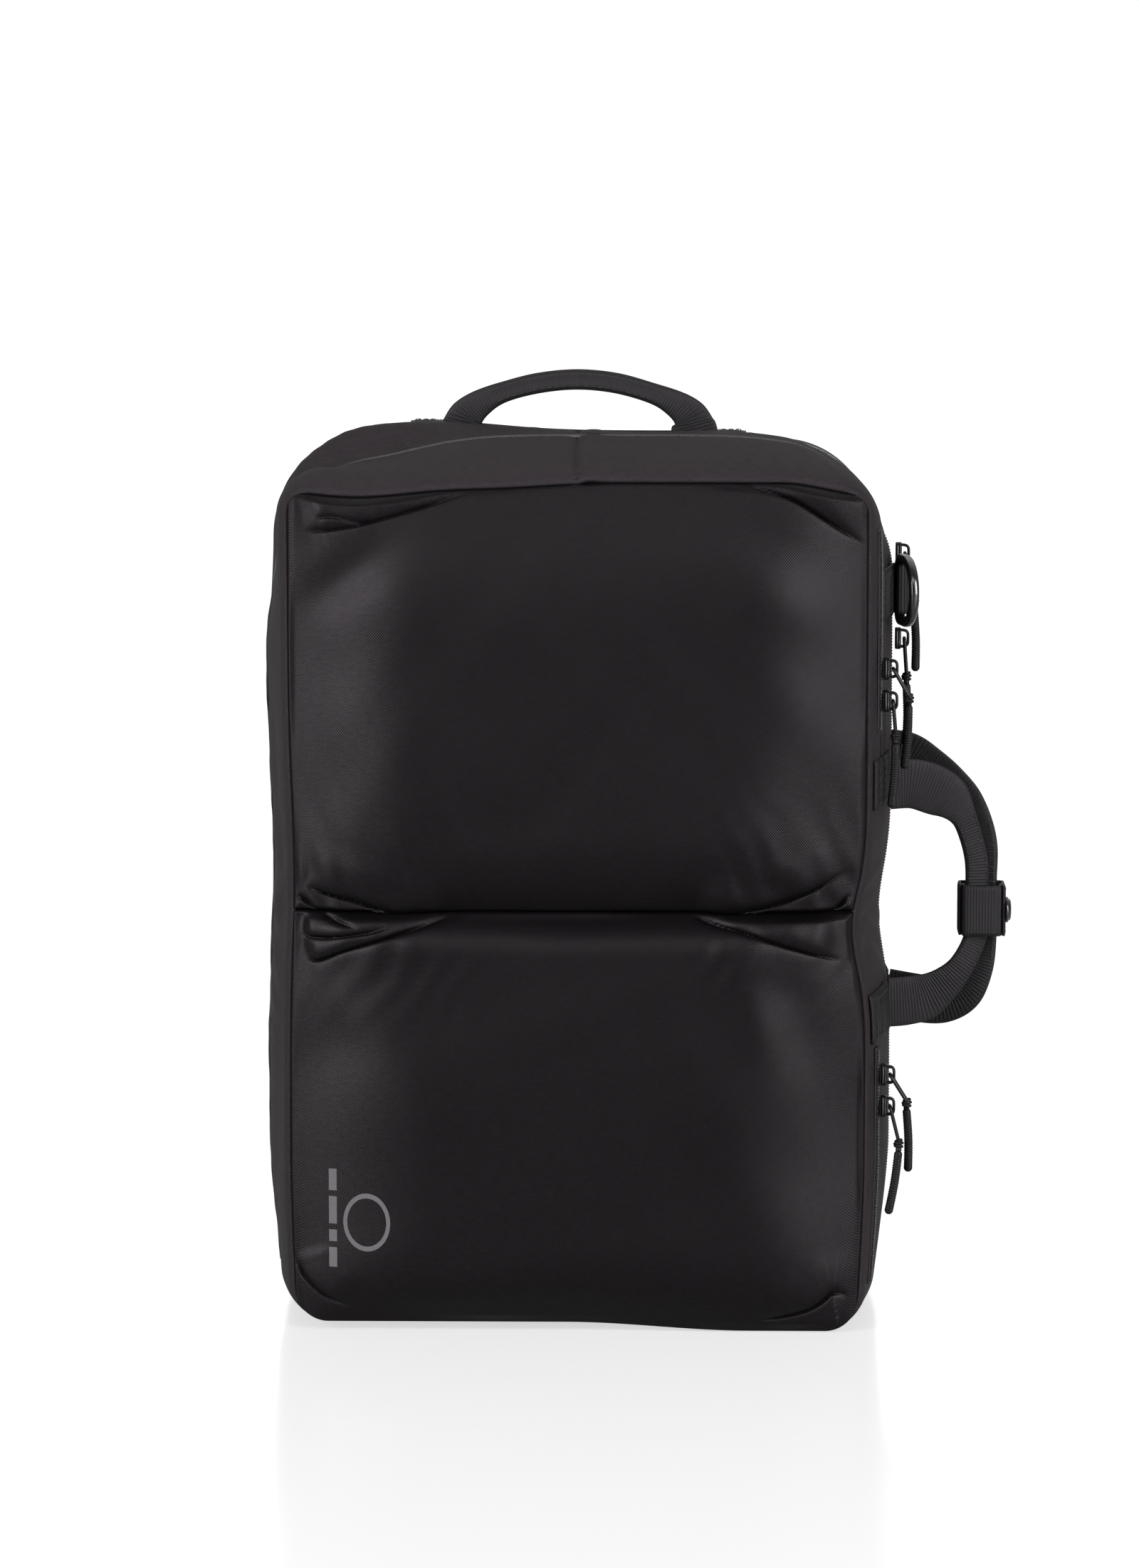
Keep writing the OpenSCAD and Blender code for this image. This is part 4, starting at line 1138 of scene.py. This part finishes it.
def pull(node, lean, loop_len, shift, drift):
    """A wire loop on the slider, and a ribbed woven tab hung from it by a knot. lean is the loop's
    angle in degrees; shift and drift are how far the tab's end lies over along y and x."""
    pivot = np.array(next(j for j in frame["joints"] if j["child"] == node)["pos_m"])
    tab_len, loop_half, wire, corner = 0.036, 0.0031, 0.0009, 0.0016
    ln = math.radians(lean)
    down, across = np.array([math.sin(ln), 0, -math.cos(ln)]), np.array([0, 1.0, 0])
    loop = []
    for k, (s, f) in enumerate(((1, 0), (1, 1), (-1, 1), (-1, 0))):
        half = loop_half * (0.92 if f else 1)
        centre = across * s * (half - corner) + down * (corner + (loop_len - 2 * corner) * f)
        for q in np.radians(np.linspace(90 * k - 90, 90 * k, 7)):
            loop.append(centre + across * corner * math.cos(q) + down * corner * math.sin(q))
    path = closed_even(np.array(loop) + pivot, 0.0005)
    b = Build()
    ring = section(2 * wire, 2 * wire, 12, 2)
    b.sweep(rings(path, ring, np.cross(across, down), True), wrap_r=True, mat=1)
    knot = pivot + np.array([loop_len * math.sin(ln), shift / 2, -loop_len * math.cos(ln) - 0.001])
    tip = knot + np.array([drift, shift / 2, -tab_len])
    first = knot + np.array([0, shift / 2, -0.004])
    a = np.linspace(0, TAU, 28, endpoint=False)
    for i, (dz, r) in enumerate(((0.0010, 0.0013), (-0.0003, 0.0018), (-0.0017, 0.0016))):
        turn = knot + np.stack([np.cos(a) * r, np.sin(a) * r, dz + 0.0004 * np.cos(a + i)], 1)
        b.sweep(rings(turn, section(0.0018, 0.0016, 10, 2), (0, 0, 1), True), wrap_r=True)
    neck = [knot + np.array([0, 0, 0.001]), knot + np.array([0, shift * 0.2, -0.002]), first]
    b.sweep(rings(even(smooth(neck, 6), 0.0004), section(0.0030, 0.0026, 12, 2.2), (0, 1, 0)))
    bend = mix(first, tip, 0.5) + np.array([0.0006, 0, 0])
    path = even(smooth([first, bend, tip], 30), 0.00022)
    s = along(path)
    total = s[-1]
    ends = np.minimum(1, np.sqrt(np.clip(np.minimum(s + 0.0006, total - s + 0.0004) / 0.0018, 0, 1)))
    grooved = step((s - 0.003) / 0.002) * step((total - 0.004 - s) / 0.002)
    size = mix(0.00205, 0.00215, s / total) * ends * (1 + 0.075 * np.cos(s / 0.00125 * TAU) * grooved)
    b.sweep(rings(path, section(2.0, 1.8, 16, 2.4)[None] * size[:, None, None], (0, 1, 0)))
    b.make(node, [CORD, METAL], node, [node])


# Lean, loop length, shift and drift of each pull
PULLS = {
    "main_pull_upper": (12, 0.024, 0.0066, 0.001),
    "main_pull_lower": (4, 0.018, 0, 0),
    "upper_pocket_pull_upper": (30, 0.016, 0.0066, -0.002),
    "upper_pocket_pull_lower": (5, 0.016, -0.002, -0.002),
    "lower_pocket_pull_upper": (32, 0.016, 0.0066, 0.001),
    "lower_pocket_pull_lower": (14, 0.018, -0.002, -0.005),
}
for node, shape in PULLS.items():
    slider(node.replace("pull", "slider"))
    pull(node, *shape)


# ---- Back and harness -------------------------------------------------------------------

def back_panel():
    """Padded back: fabric outside, lining inside, cut to the outline."""
    lo, hi = size_of("back_panel")
    o = outline(BACK_Y, 0.0034)
    centre = np.array([0, 0.22])
    shares = np.concatenate([np.linspace(0, 0.8, 26, endpoint=False), np.linspace(0.8, 1, 18)])[1:]
    flat = centre + (o - centre) * shares[:, None, None]
    P = np.stack([flat[..., 0], np.full(flat.shape[:2], hi[1]), flat[..., 1]], -1)
    d = (1 - shares)[:, None] * np.linalg.norm(o - centre, axis=1)[None]
    P[..., 1] += 0.0010 * rise(d, 0.03) + 0.0005 * ripple(P, 0.07, 81) * step(d / 0.02)
    b = Build()
    flip = grid_normals(P, False, True)[..., 1].mean() < 0
    b.sheet(P, hi[1] - lo[1], wrap_c=True, flip=flip, mats=(0, 1))
    # The hole in the middle of both faces
    outer = np.arange(P.shape[1])
    inner = outer + P.shape[0] * P.shape[1]
    b.face(outer if flip else outer[::-1], 0)
    b.face(inner[::-1] if flip else inner, 1)
    b.make("back_panel", [SHELL, LINING], "rear_body", ["back_panel"])


back_panel()


def back_pad(node):
    """A foam pad under spacer mesh, with sewn channels across it."""
    lo, hi = size_of(node)
    spacing = 0.0021
    Z, X = np.meshgrid(*(np.arange(lo[k], hi[k] + 1e-6, spacing) for k in (2, 0)), indexing="ij")
    xc, half = (lo[0] + hi[0]) / 2, (hi[0] - lo[0]) / 2
    cut = corner_cut(X - xc, half, 0.022)
    zc, hz = (lo[2] + hi[2]) / 2, (hi[2] - lo[2]) / 2
    Z = zc + (Z - zc) * (hz - cut) / hz
    d = np.minimum(half - np.abs(X - xc), (hz - cut) - np.abs(Z - zc))
    P = np.stack([X, np.zeros_like(X), Z], -1)
    height = (hi[1] - lo[1]) * (0.10 + 0.90 * rise(d, 0.016, 2.6))
    inner = step((d - 0.010) / 0.008)
    for k in (-1.5, -0.5, 0.5, 1.5):
        line_z = zc + k * hz * 0.44 + 0.010 * np.cos((X - xc) / half * 1.2)
        height -= inner * 0.0052 * np.exp(-np.abs(Z - line_z) / 0.0042)
    height += 0.0005 * ripple(P, 0.05, 91) * inner
    P[..., 1] = lo[1] + np.minimum(height, hi[1] - lo[1])
    flip = grid_normals(P)[..., 1].mean() < 0
    base = P.copy()
    base[..., 1] = lo[1]
    rows, cols = P.shape[:2]
    b = Build()
    a = b.grid(P, flip=flip)
    c = b.grid(base, flip=not flip)
    rim = [(i, 0) for i in range(rows)] + [(rows - 1, j) for j in range(1, cols)] + \
        [(i, cols - 1) for i in range(rows - 2, -1, -1)] + [(0, j) for j in range(cols - 2, 0, -1)]
    for (i, j), (k, m) in zip(rim, rim[1:] + rim[:1]):
        quad = [a + i * cols + j, a + k * cols + m, c + k * cols + m, c + i * cols + j]
        b.face(quad if flip else quad[::-1])
    edge = closed_even(np.array([(P[i, j, 0], lo[1] + 0.0016, P[i, j, 2]) for i, j in rim]), 0.003)
    b.sweep(rings(edge, section(0.0032, 0.0032, 10, 2.2), (0, 1, 0), True), wrap_r=True, mat=1)
    ob = b.make(node, [MESH, SHELL], "rear_body", [node])


back_pad("back_pad_left")
back_pad("back_pad_right")


def cloth_band(path, low, high, spacing):
    """An upright cloth strip along a path in x and y, its rows closer together near its free edges."""
    hem = 0.012
    z = np.concatenate([np.linspace(low, low + hem, 8, endpoint=False),
                        np.linspace(low + hem, high - hem, int((high - low) / spacing), endpoint=False),
                        np.linspace(high - hem, high, 8)])
    P = np.repeat(path[None], len(z), 0)
    P[..., 2] = z[:, None]
    return P


def luggage_sleeve():
    """The sleeve across the back that slips over a case's handle, hemmed above and below."""
    lo, hi = size_of("luggage_sleeve")
    ends = lo[1] + 0.001
    corners = [(lo[0], ends, 0), (lo[0], hi[1], 0), (hi[0], hi[1], 0), (hi[0], ends, 0)]
    P = cloth_band(rounded_path(corners, 0.008, 0.003), lo[2], hi[2], 0.004)
    x, z = P[..., 0], P[..., 2]
    middle = step((0.066 - np.abs(x)) / 0.016)
    edge = np.minimum(z - lo[2], hi[2] - z)
    sag = -0.0030 * middle * (0.6 + 0.4 * rise(edge, 0.03))
    P[..., 1] += sag + 0.0007 * ripple(P, 0.06, 101) * (np.abs(x) < 0.125)
    gathers = 0.0006 * (edge < 0.010) + 0.0009 * np.sin(x / 0.012 * TAU) * np.exp(-edge / 0.009)
    P[..., 1] += np.where(np.abs(x) < 0.13, gathers, 0)
    b = Build()
    b.sheet(P, 0.0014, flip=grid_normals(P)[..., 1].mean() < 0)
    for height in (lo[2] + 0.011, hi[2] - 0.011):
        row = P[np.argmin(np.abs(P[:, 0, 2] - height))]
        keep = np.abs(row[:, 0]) < 0.128
        stitch(b, row[keep] + np.array([0, 0.0004, 0]), (0, 1, 0))
    b.make("luggage_sleeve", [SHELL, THREAD], "rear_body", ["luggage_sleeve"])


luggage_sleeve()


def laptop_sleeve():
    """The quilted sleeve inside the back, with a bound upper edge and a floor."""
    lo, hi = size_of("laptop_sleeve")
    corners = [(lo[0], hi[1], 0), (lo[0], lo[1], 0), (hi[0], lo[1], 0), (hi[0], hi[1], 0)]
    P = cloth_band(rounded_path(corners, 0.008, 0.004), lo[2], hi[2], 0.005)
    x, z = P[..., 0], P[..., 2]
    flat = np.abs(x) < hi[0] - 0.004
    span = rise(hi[0] - np.abs(x), 0.03) * rise(z - lo[2], 0.03) * rise(hi[2] - z, 0.02)
    quilt = np.abs(np.sin((x + z) / 0.045 * math.pi) * np.sin((x - z) / 0.045 * math.pi)) ** 0.5
    P[..., 1] -= np.where(flat, span * (0.0012 + 0.0011 * quilt), 0)
    b = Build()
    b.sheet(P, 0.0028, flip=grid_normals(P)[..., 1].mean() > 0)
    top = even(P[-1] + np.array([0, 0.0013, 0.0003]), 0.004)
    b.sweep(rings(top, section(0.0060, 0.0046, 12, 2.6), (0, 1, 0)), mat=1)
    Y, X = np.meshgrid(np.linspace(lo[1] + 0.001, hi[1], 6), np.linspace(lo[0] + 0.001, hi[0] - 0.001, 50),
                       indexing="ij")
    b.sheet(np.stack([X, Y, np.full_like(X, lo[2] + 0.001)], -1), 0.002)
    ob = b.make("laptop_sleeve", [LINING, WEB], "rear_body", ["laptop_sleeve"])


laptop_sleeve()


# Centre line of the right strap in x and z (millimetres) with its width
STRAP = [(48, 426, 52), (51, 402, 54), (59, 372, 54), (71, 338, 54), (84, 302, 54), (95, 264, 54),
         (103, 228, 49), (106, 208, 43), (107.5, 195, 34)]


def strap_section(width, thick, count=36):
    """A padded section: full in the middle, with thin bound edges."""
    a = np.arange(count) / count * TAU
    c, s = np.cos(a), np.sin(a)
    v = np.sign(c) * np.abs(c) ** 0.8
    body = (1 - np.abs(v) ** 3.0) ** 0.55
    t = np.sign(s) * (thick / 2 * body * np.minimum(1, np.abs(s) * 3) + 0.0012 * np.minimum(1, np.abs(s) * 4))
    return np.stack([v * width / 2, t], 1)


def strap_pad(side, s):
    """A strap's padded part, bound at its edges, with webbing down its middle to the ladder lock."""
    name = f"{side}_strap_pad"
    lo, hi = size_of(name)
    yc, thick = (lo[1] + hi[1]) / 2, hi[1] - lo[1]
    path = even(smooth([(s * x / 1000, yc, z / 1000, w / 1000) for x, z, w in STRAP], 12), 0.0025)
    middle, width = path[:, :3], path[:, 3]
    d = along(path)
    f = np.clip(np.minimum(d + 0.004, (d[-1] - d) * 0.7 + 0.003) / 0.018, 0, 1) ** 0.5
    P = rings(middle, np.array([strap_section(w, thick * k * 0.93) for w, k in zip(width, f)]), (0, 1, 0))
    waves = 0.00035 * ripple(middle, 0.05, 111)
    P[..., 1] = np.maximum(P[..., 1] + waves[:, None], lo[1] + 0.0004)
    b = Build()
    b.sweep(P)
    across, _ = frames(middle, (0, 1, 0))
    for e in (-1, 1):
        edge = middle + across * e * (width[:, None] / 2 - 0.0008)
        b.sweep(rings(edge, section(0.0040, 0.0050, 12, 2.4), (0, 1, 0)), mat=1)
        inner = middle + across * e * (width[:, None] / 2 - 0.0062)
        stitch(b, inner + np.array([0, thick * 0.345, 0]), (0, 1, 0), mat=2)
    web = even((middle + np.array([0, thick / 2 + 0.0014, 0]))[4:], STEP)
    across, _ = frames(web, (0, 1, 0))
    share = np.linspace(-1, 1, 9)
    P = np.stack([web + across * v * 0.0125 for v in share], 1)
    P[..., 1] -= 0.0009 * np.abs(share) ** 6
    web_strip(b, P, 0.0014, grid_normals(P)[..., 1].mean() < 0, mat=3)
    lock_lo, lock_hi = size_of(f"{side}_ladder_lock")
    lock_y = (lock_lo[1] + lock_hi[1]) / 2
    tab = [(0.1072, yc + 0.001, 0.202), (0.1076, yc - 0.002, 0.192), (0.1080, lock_y + 0.0030, 0.1885),
           (0.1084, lock_y, 0.1853), (0.1080, lock_y - 0.0019, 0.1885), (0.1074, yc - 0.004, 0.197)]
    tab = even(smooth(np.array(tab) * np.array([s, 1, 1]), 8), 0.0004)
    b.sweep(ribbed(tab, 0.024, 0.0013, (0, 1, 0.02), power=4), mat=3)
    ob = b.make(name, [MESH, SHELL, THREAD, WEB], f"{side}_strap", [name])


def strap_root(side, s):
    """A strap's sewn end, left fixed when the strap lifts."""
    lo, hi = size_of(f"{side}_strap_pad")
    yc, y0 = (lo[1] + hi[1]) / 2, BACK_Y + 0.0006
    # Place in x, y and z, then width and thickness
    root = [(s * 0.048, y0 - 0.001, 0.4300, 0.046, 0.0050), (s * 0.048, y0 + 0.008, 0.4312, 0.047, 0.0064),
            (s * 0.048, y0 + 0.017, 0.4300, 0.049, 0.0078), (s * 0.0482, yc - 0.001, 0.4245, 0.051, 0.0096),
            (s * 0.0488, yc, 0.4160, 0.053, 0.0106)]
    path = even(smooth(root, 8), 0.0015)
    P = rings(path[:, :3], np.array([strap_section(w, t) for w, t in path[:, 3:5]]), (0, 0.55, 0.84))
    b = Build()
    b.sweep(P)
    for k in (5, 8):
        stitch(b, P[k][2:16] + np.array([0, 0, 0.0004]), (0, 0.2, 1))
    ob = b.make(f"strap_root_{side}", [SHELL, THREAD], None, ["strap_roots"])
    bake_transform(ob)


# Lean of the lower webbing and its hardware
LEAN = math.atan2(0.025, 0.146)


def strap_webbing(side, s):
    """The lower webbing, with rows of stitches above its hook."""
    name = f"{side}_strap_webbing"
    lo, hi = size_of(name)
    y = (lo[1] + hi[1]) / 2
    top, end = np.array([s * 0.108, y, 0.188]), np.array([s * 0.133, y, 0.042])
    b = Build()
    b.sweep(ribbed(even(np.linspace(top, end, 12), STEP), 0.025, 0.0016, (0, 1, 0), power=4.5))
    across = np.array([math.cos(LEAN) * s, 0, math.sin(LEAN)])
    for f in (0.885, 0.93, 0.975):
        row = mix(top, end, f) + across * np.linspace(-0.0105, 0.0105, 10)[:, None]
        for face in (-1, 1):
            stitch(b, row + np.array([0, face * 0.0008, 0]), (0, face, 0))
    b.make(name, [WEB, THREAD], f"{side}_strap_lower", [name])


def leaned(P, centre, s):
    """Points about a centre on the right strap's lean, mirrored for the left strap."""
    across = np.array([math.cos(LEAN), 0, math.sin(LEAN)])
    up = np.array([-math.sin(LEAN), 0, math.cos(LEAN)])
    Q = P[..., :1] * across + P[..., 2:] * up + P[..., 1:2] * np.array([0, 1, 0]) + centre
    if s < 0:
        Q[..., 0] *= -1
    return Q


def bars(build, pieces, centre, s):
    """Moulded bars, each from one point to another, with its width and thickness."""
    f = np.linspace(0, 1, 9)
    for a, c, w, t in pieces:
        a, c = np.array(a, float), np.array(c, float)
        inset = np.minimum(f, 1 - f) * np.linalg.norm(c - a) / 0.0012 + 0.35
        ring = section(w, t, 16, 3.4)[None] * np.minimum(1, np.sqrt(inset))[:, None, None]
        build.sweep(leaned(rings(a + (c - a) * f[:, None], ring, (0, 1, 0)), centre, s), flip=s < 0)


def ladder_lock(side, s):
    """Three cross bars, two side bars and a lip."""
    name = f"{side}_ladder_lock"
    lo, hi = size_of(name)
    t = hi[1] - lo[1]
    y = t / 2
    cross = ((0, 0.0093, 0.0034, 0.84), (0.0003, 0, 0.0046, 0.62), (0, -0.0093, 0.0034, 0.96))
    pieces = [((-0.0168, y + dy, z), (0.0168, y + dy, z), w, t * k) for dy, z, w, k in cross]
    pieces += [((x, y, -0.0108), (x, y, 0.0108), 0.0036, t * 0.92) for x in (-0.0152, 0.0152)]
    pieces.append(((-0.008, y + 0.0006, -0.0103), (0.008, y + 0.0006, -0.0103), 0.0016, t))
    b = Build()
    bars(b, pieces, np.array([0.1098, lo[1], 0.178]), s)
    b.make(name, MATTE, f"{side}_strap", [name])


def strap_hook(side, s):
    """A moulded ring below a frame that holds the webbing."""
    name = f"{side}_strap_hook"
    lo, hi = size_of(name)
    t = hi[1] - lo[1]
    y, centre = t / 2, np.array([0.1354, lo[1], 0.024])
    a = np.linspace(0, TAU, 48, endpoint=False)
    ring = np.stack([0.009504 * np.cos(a), np.full(48, y), -0.0042 + 0.0082 * np.sin(a)], 1)
    b = Build()
    P = rings(ring, section(0.0050, t * 0.9, 16, 3), (0, 1, 0), True)
    b.sweep(leaned(P, centre, s), wrap_r=True, flip=s < 0)
    pieces = [((-0.0148, y, z), (0.0148, y, z), w, t * 0.84) for z, w in ((0.0114, 0.0030), (0.0034, 0.0032))]
    pieces += [((x * 0.0137, y, 0.0120), (x * 0.0137, y, -0.0010), 0.0028, t * 0.90) for x in (-1, 1)]
    pieces += [((x * 0.0134, y, -0.0002), (x * 0.0086, y, -0.0072), 0.0032, t * 0.9) for x in (-1, 1)]
    bars(b, pieces, centre, s)
    b.make(name, MATTE, f"{side}_strap_lower", [name])


for side, s in (("left", -1), ("right", 1)):
    strap_pad(side, s)
    strap_root(side, s)
    strap_webbing(side, s)
    ladder_lock(side, s)
    strap_hook(side, s)


def lower_anchors():
    """The webbing tabs at both lower corners, each with a wire ring."""
    lo, hi = size_of("lower_anchors")
    ring_r, wire, loop_r = 0.009, 0.0016, 0.0033
    a = np.linspace(0, TAU, 64, endpoint=False)
    circle = np.stack([ring_r * np.cos(a), np.zeros(64), ring_r * np.sin(a)], 1)
    b = Build()
    for s in (-1, 1):
        x, y, z = s * 0.135, hi[1] - wire, 0.020
        ring = rings(np.array([x, y, z]) + circle, section(2 * wire, 2 * wire, 14, 2), (0, 1, 0), True)
        b.sweep(ring, wrap_r=True, mat=1)
        y0 = lo[1] + 0.0009
        loop = [(x, y0, 0.012), (x, y0, 0.020), (x, y0 + 0.0003, 0.0262)]
        loop += [(x, y + loop_r * math.cos(q), z + ring_r + loop_r * math.sin(q))
                 for q in np.radians(np.linspace(150, -80, 12))]
        loop.append((x, y0 + 0.0024, 0.0212))
        b.sweep(ribbed(even(smooth(loop, 5), 0.0004), 0.0170, 0.0013, (0, 1, 0.03), power=4))
    b.make("lower_anchors", [WEB, WIRE], "rear_body", ["lower_anchors"])


lower_anchors()


# ---- Plain printed mark on the lower pocket -----------------------------------------------

def panel_depth(P, x, z):
    """Outer face of a panel at x and z, by its nearest points."""
    flat = P.reshape(-1, 3)
    out = []
    for a, c in zip(np.ravel(x), np.ravel(z)):
        d = (flat[:, 0] - a) ** 2 + (flat[:, 2] - c) ** 2
        k = np.argpartition(d, 4)[:4]
        out.append(np.average(flat[k, 1], weights=1 / (d[k] + 1e-9)))
    return np.array(out).reshape(np.shape(x))


def printed_mark():
    """A plain mark just off the lower pocket: a column of bars and a ring."""
    off = 0.00016
    b = Build()
    for z0, z1 in ((0.034, 0.044), (0.047, 0.053), (0.056, 0.070), (0.073, 0.084)):
        zs = np.linspace(z0, z1, max(4, int((z1 - z0) / 0.001)))
        Z, X = np.meshgrid(zs, np.linspace(-0.1235, -0.1195, 5), indexing="ij")
        b.grid(np.stack([X, panel_depth(LOWER, X, Z) - off, Z], -1))
    a = np.linspace(0, TAU, 64, endpoint=False)
    ring = []
    for r in (0.0118, 0.0108, 0.0098):
        x, z = -0.1045 + r * np.cos(a), 0.0575 + r * 1.25 * np.sin(a)
        ring.append(np.stack([x, panel_depth(LOWER, x, z) - off, z], 1))
    b.grid(np.array(ring), wrap_c=True)
    b.make("printed_mark", PRINT, "front_body")


printed_mark()


# ---- Floor and light --------------------------------------------------------------------

def floor():
    b = Build()
    s = np.linspace(-150, 150, 9)
    Y, X = np.meshgrid(s, s, indexing="ij")
    b.grid(np.stack([X, Y, np.full_like(X, -0.0002)], -1))
    n = Nodes("floor")
    n.set(Base_Color=(0.12, 0.12, 0.1205, 1), Roughness=0.16, Specular_IOR_Level=0.5,
          Emission_Color=(1, 1, 1.0, 1), Emission_Strength=0.63)
    ob = b.make("floor", n.mat)


floor()


def area_light(name, place, target, size, power):
    lamp = bpy.data.lights.new(name, "AREA")
    lamp.shape, lamp.size, lamp.size_y = "RECTANGLE", size[0], size[1]
    lamp.energy = power
    ob = bpy.data.objects.new(name, lamp)
    ob.location = place
    ob.rotation_euler = (Vector(target) - Vector(place)).to_track_quat("-Z", "Y").to_euler()
    bpy.context.scene.collection.objects.link(ob)


def studio():
    world = bpy.data.worlds.new("studio")
    bpy.context.scene.world = world
    world.use_nodes = True
    tree = world.node_tree
    back = tree.nodes["Background"]
    coord = tree.nodes.new("ShaderNodeTexCoord")
    split = tree.nodes.new("ShaderNodeSeparateXYZ")
    tree.links.new(coord.outputs["Generated"], split.inputs[0])

    def ramp(source, stops):
        node = tree.nodes.new("ShaderNodeValToRGB")
        tree.links.new(source, node.inputs[0])
        e = node.color_ramp.elements
        e[0].position, e[0].color = stops[0][0], (stops[0][1],) * 3 + (1,)
        e[1].position, e[1].color = stops[-1][0], (stops[-1][1],) * 3 + (1,)
        for at, level in stops[1:-1]:
            e.new(at).color = (level,) * 3 + (1,)
        return node.outputs[0]

    depth = tree.nodes.new("ShaderNodeMapRange")
    tree.links.new(split.outputs[1], depth.inputs[0])
    depth.inputs["From Min"].default_value = -1
    facing = ramp(depth.outputs[0], [(0.0, 0.03), (0.10, 0.04), (0.35, 0.16), (0.5, 0.45), (0.75, 0.7),
                                     (1.0, 1.15)])
    height = ramp(split.outputs[2], [(0.0, 1.0), (0.10, 0.7), (0.5, 1.0), (0.8, 2.2)])
    both = tree.nodes.new("ShaderNodeMix")
    both.data_type, both.blend_type = "RGBA", "MULTIPLY"
    both.inputs[0].default_value = 1
    tree.links.new(facing, both.inputs[6])
    tree.links.new(height, both.inputs[7])
    tree.links.new(both.outputs[2], back.inputs[0])
    back.inputs[1].default_value = 1.0
    for side in (-1, 1):
        a = math.radians(44)
        place = (side * 2.5 * math.sin(a), -2.5 * math.cos(a), 0.95)
        area_light(f"bank_{side + 1}", place, (0, 0, 0.25), (1.0, 1.7), 190)
    area_light("top_bank", (0, 0.9, 2.6), (0, 0.1, 0), (3.0, 2.2), 14)
    area_light("front_bank", (0, -2.0, 2.0), (0, 0, 0.3), (1.6, 0.6), 26)


studio()
bpy.context.scene.view_settings.view_transform = "Standard"
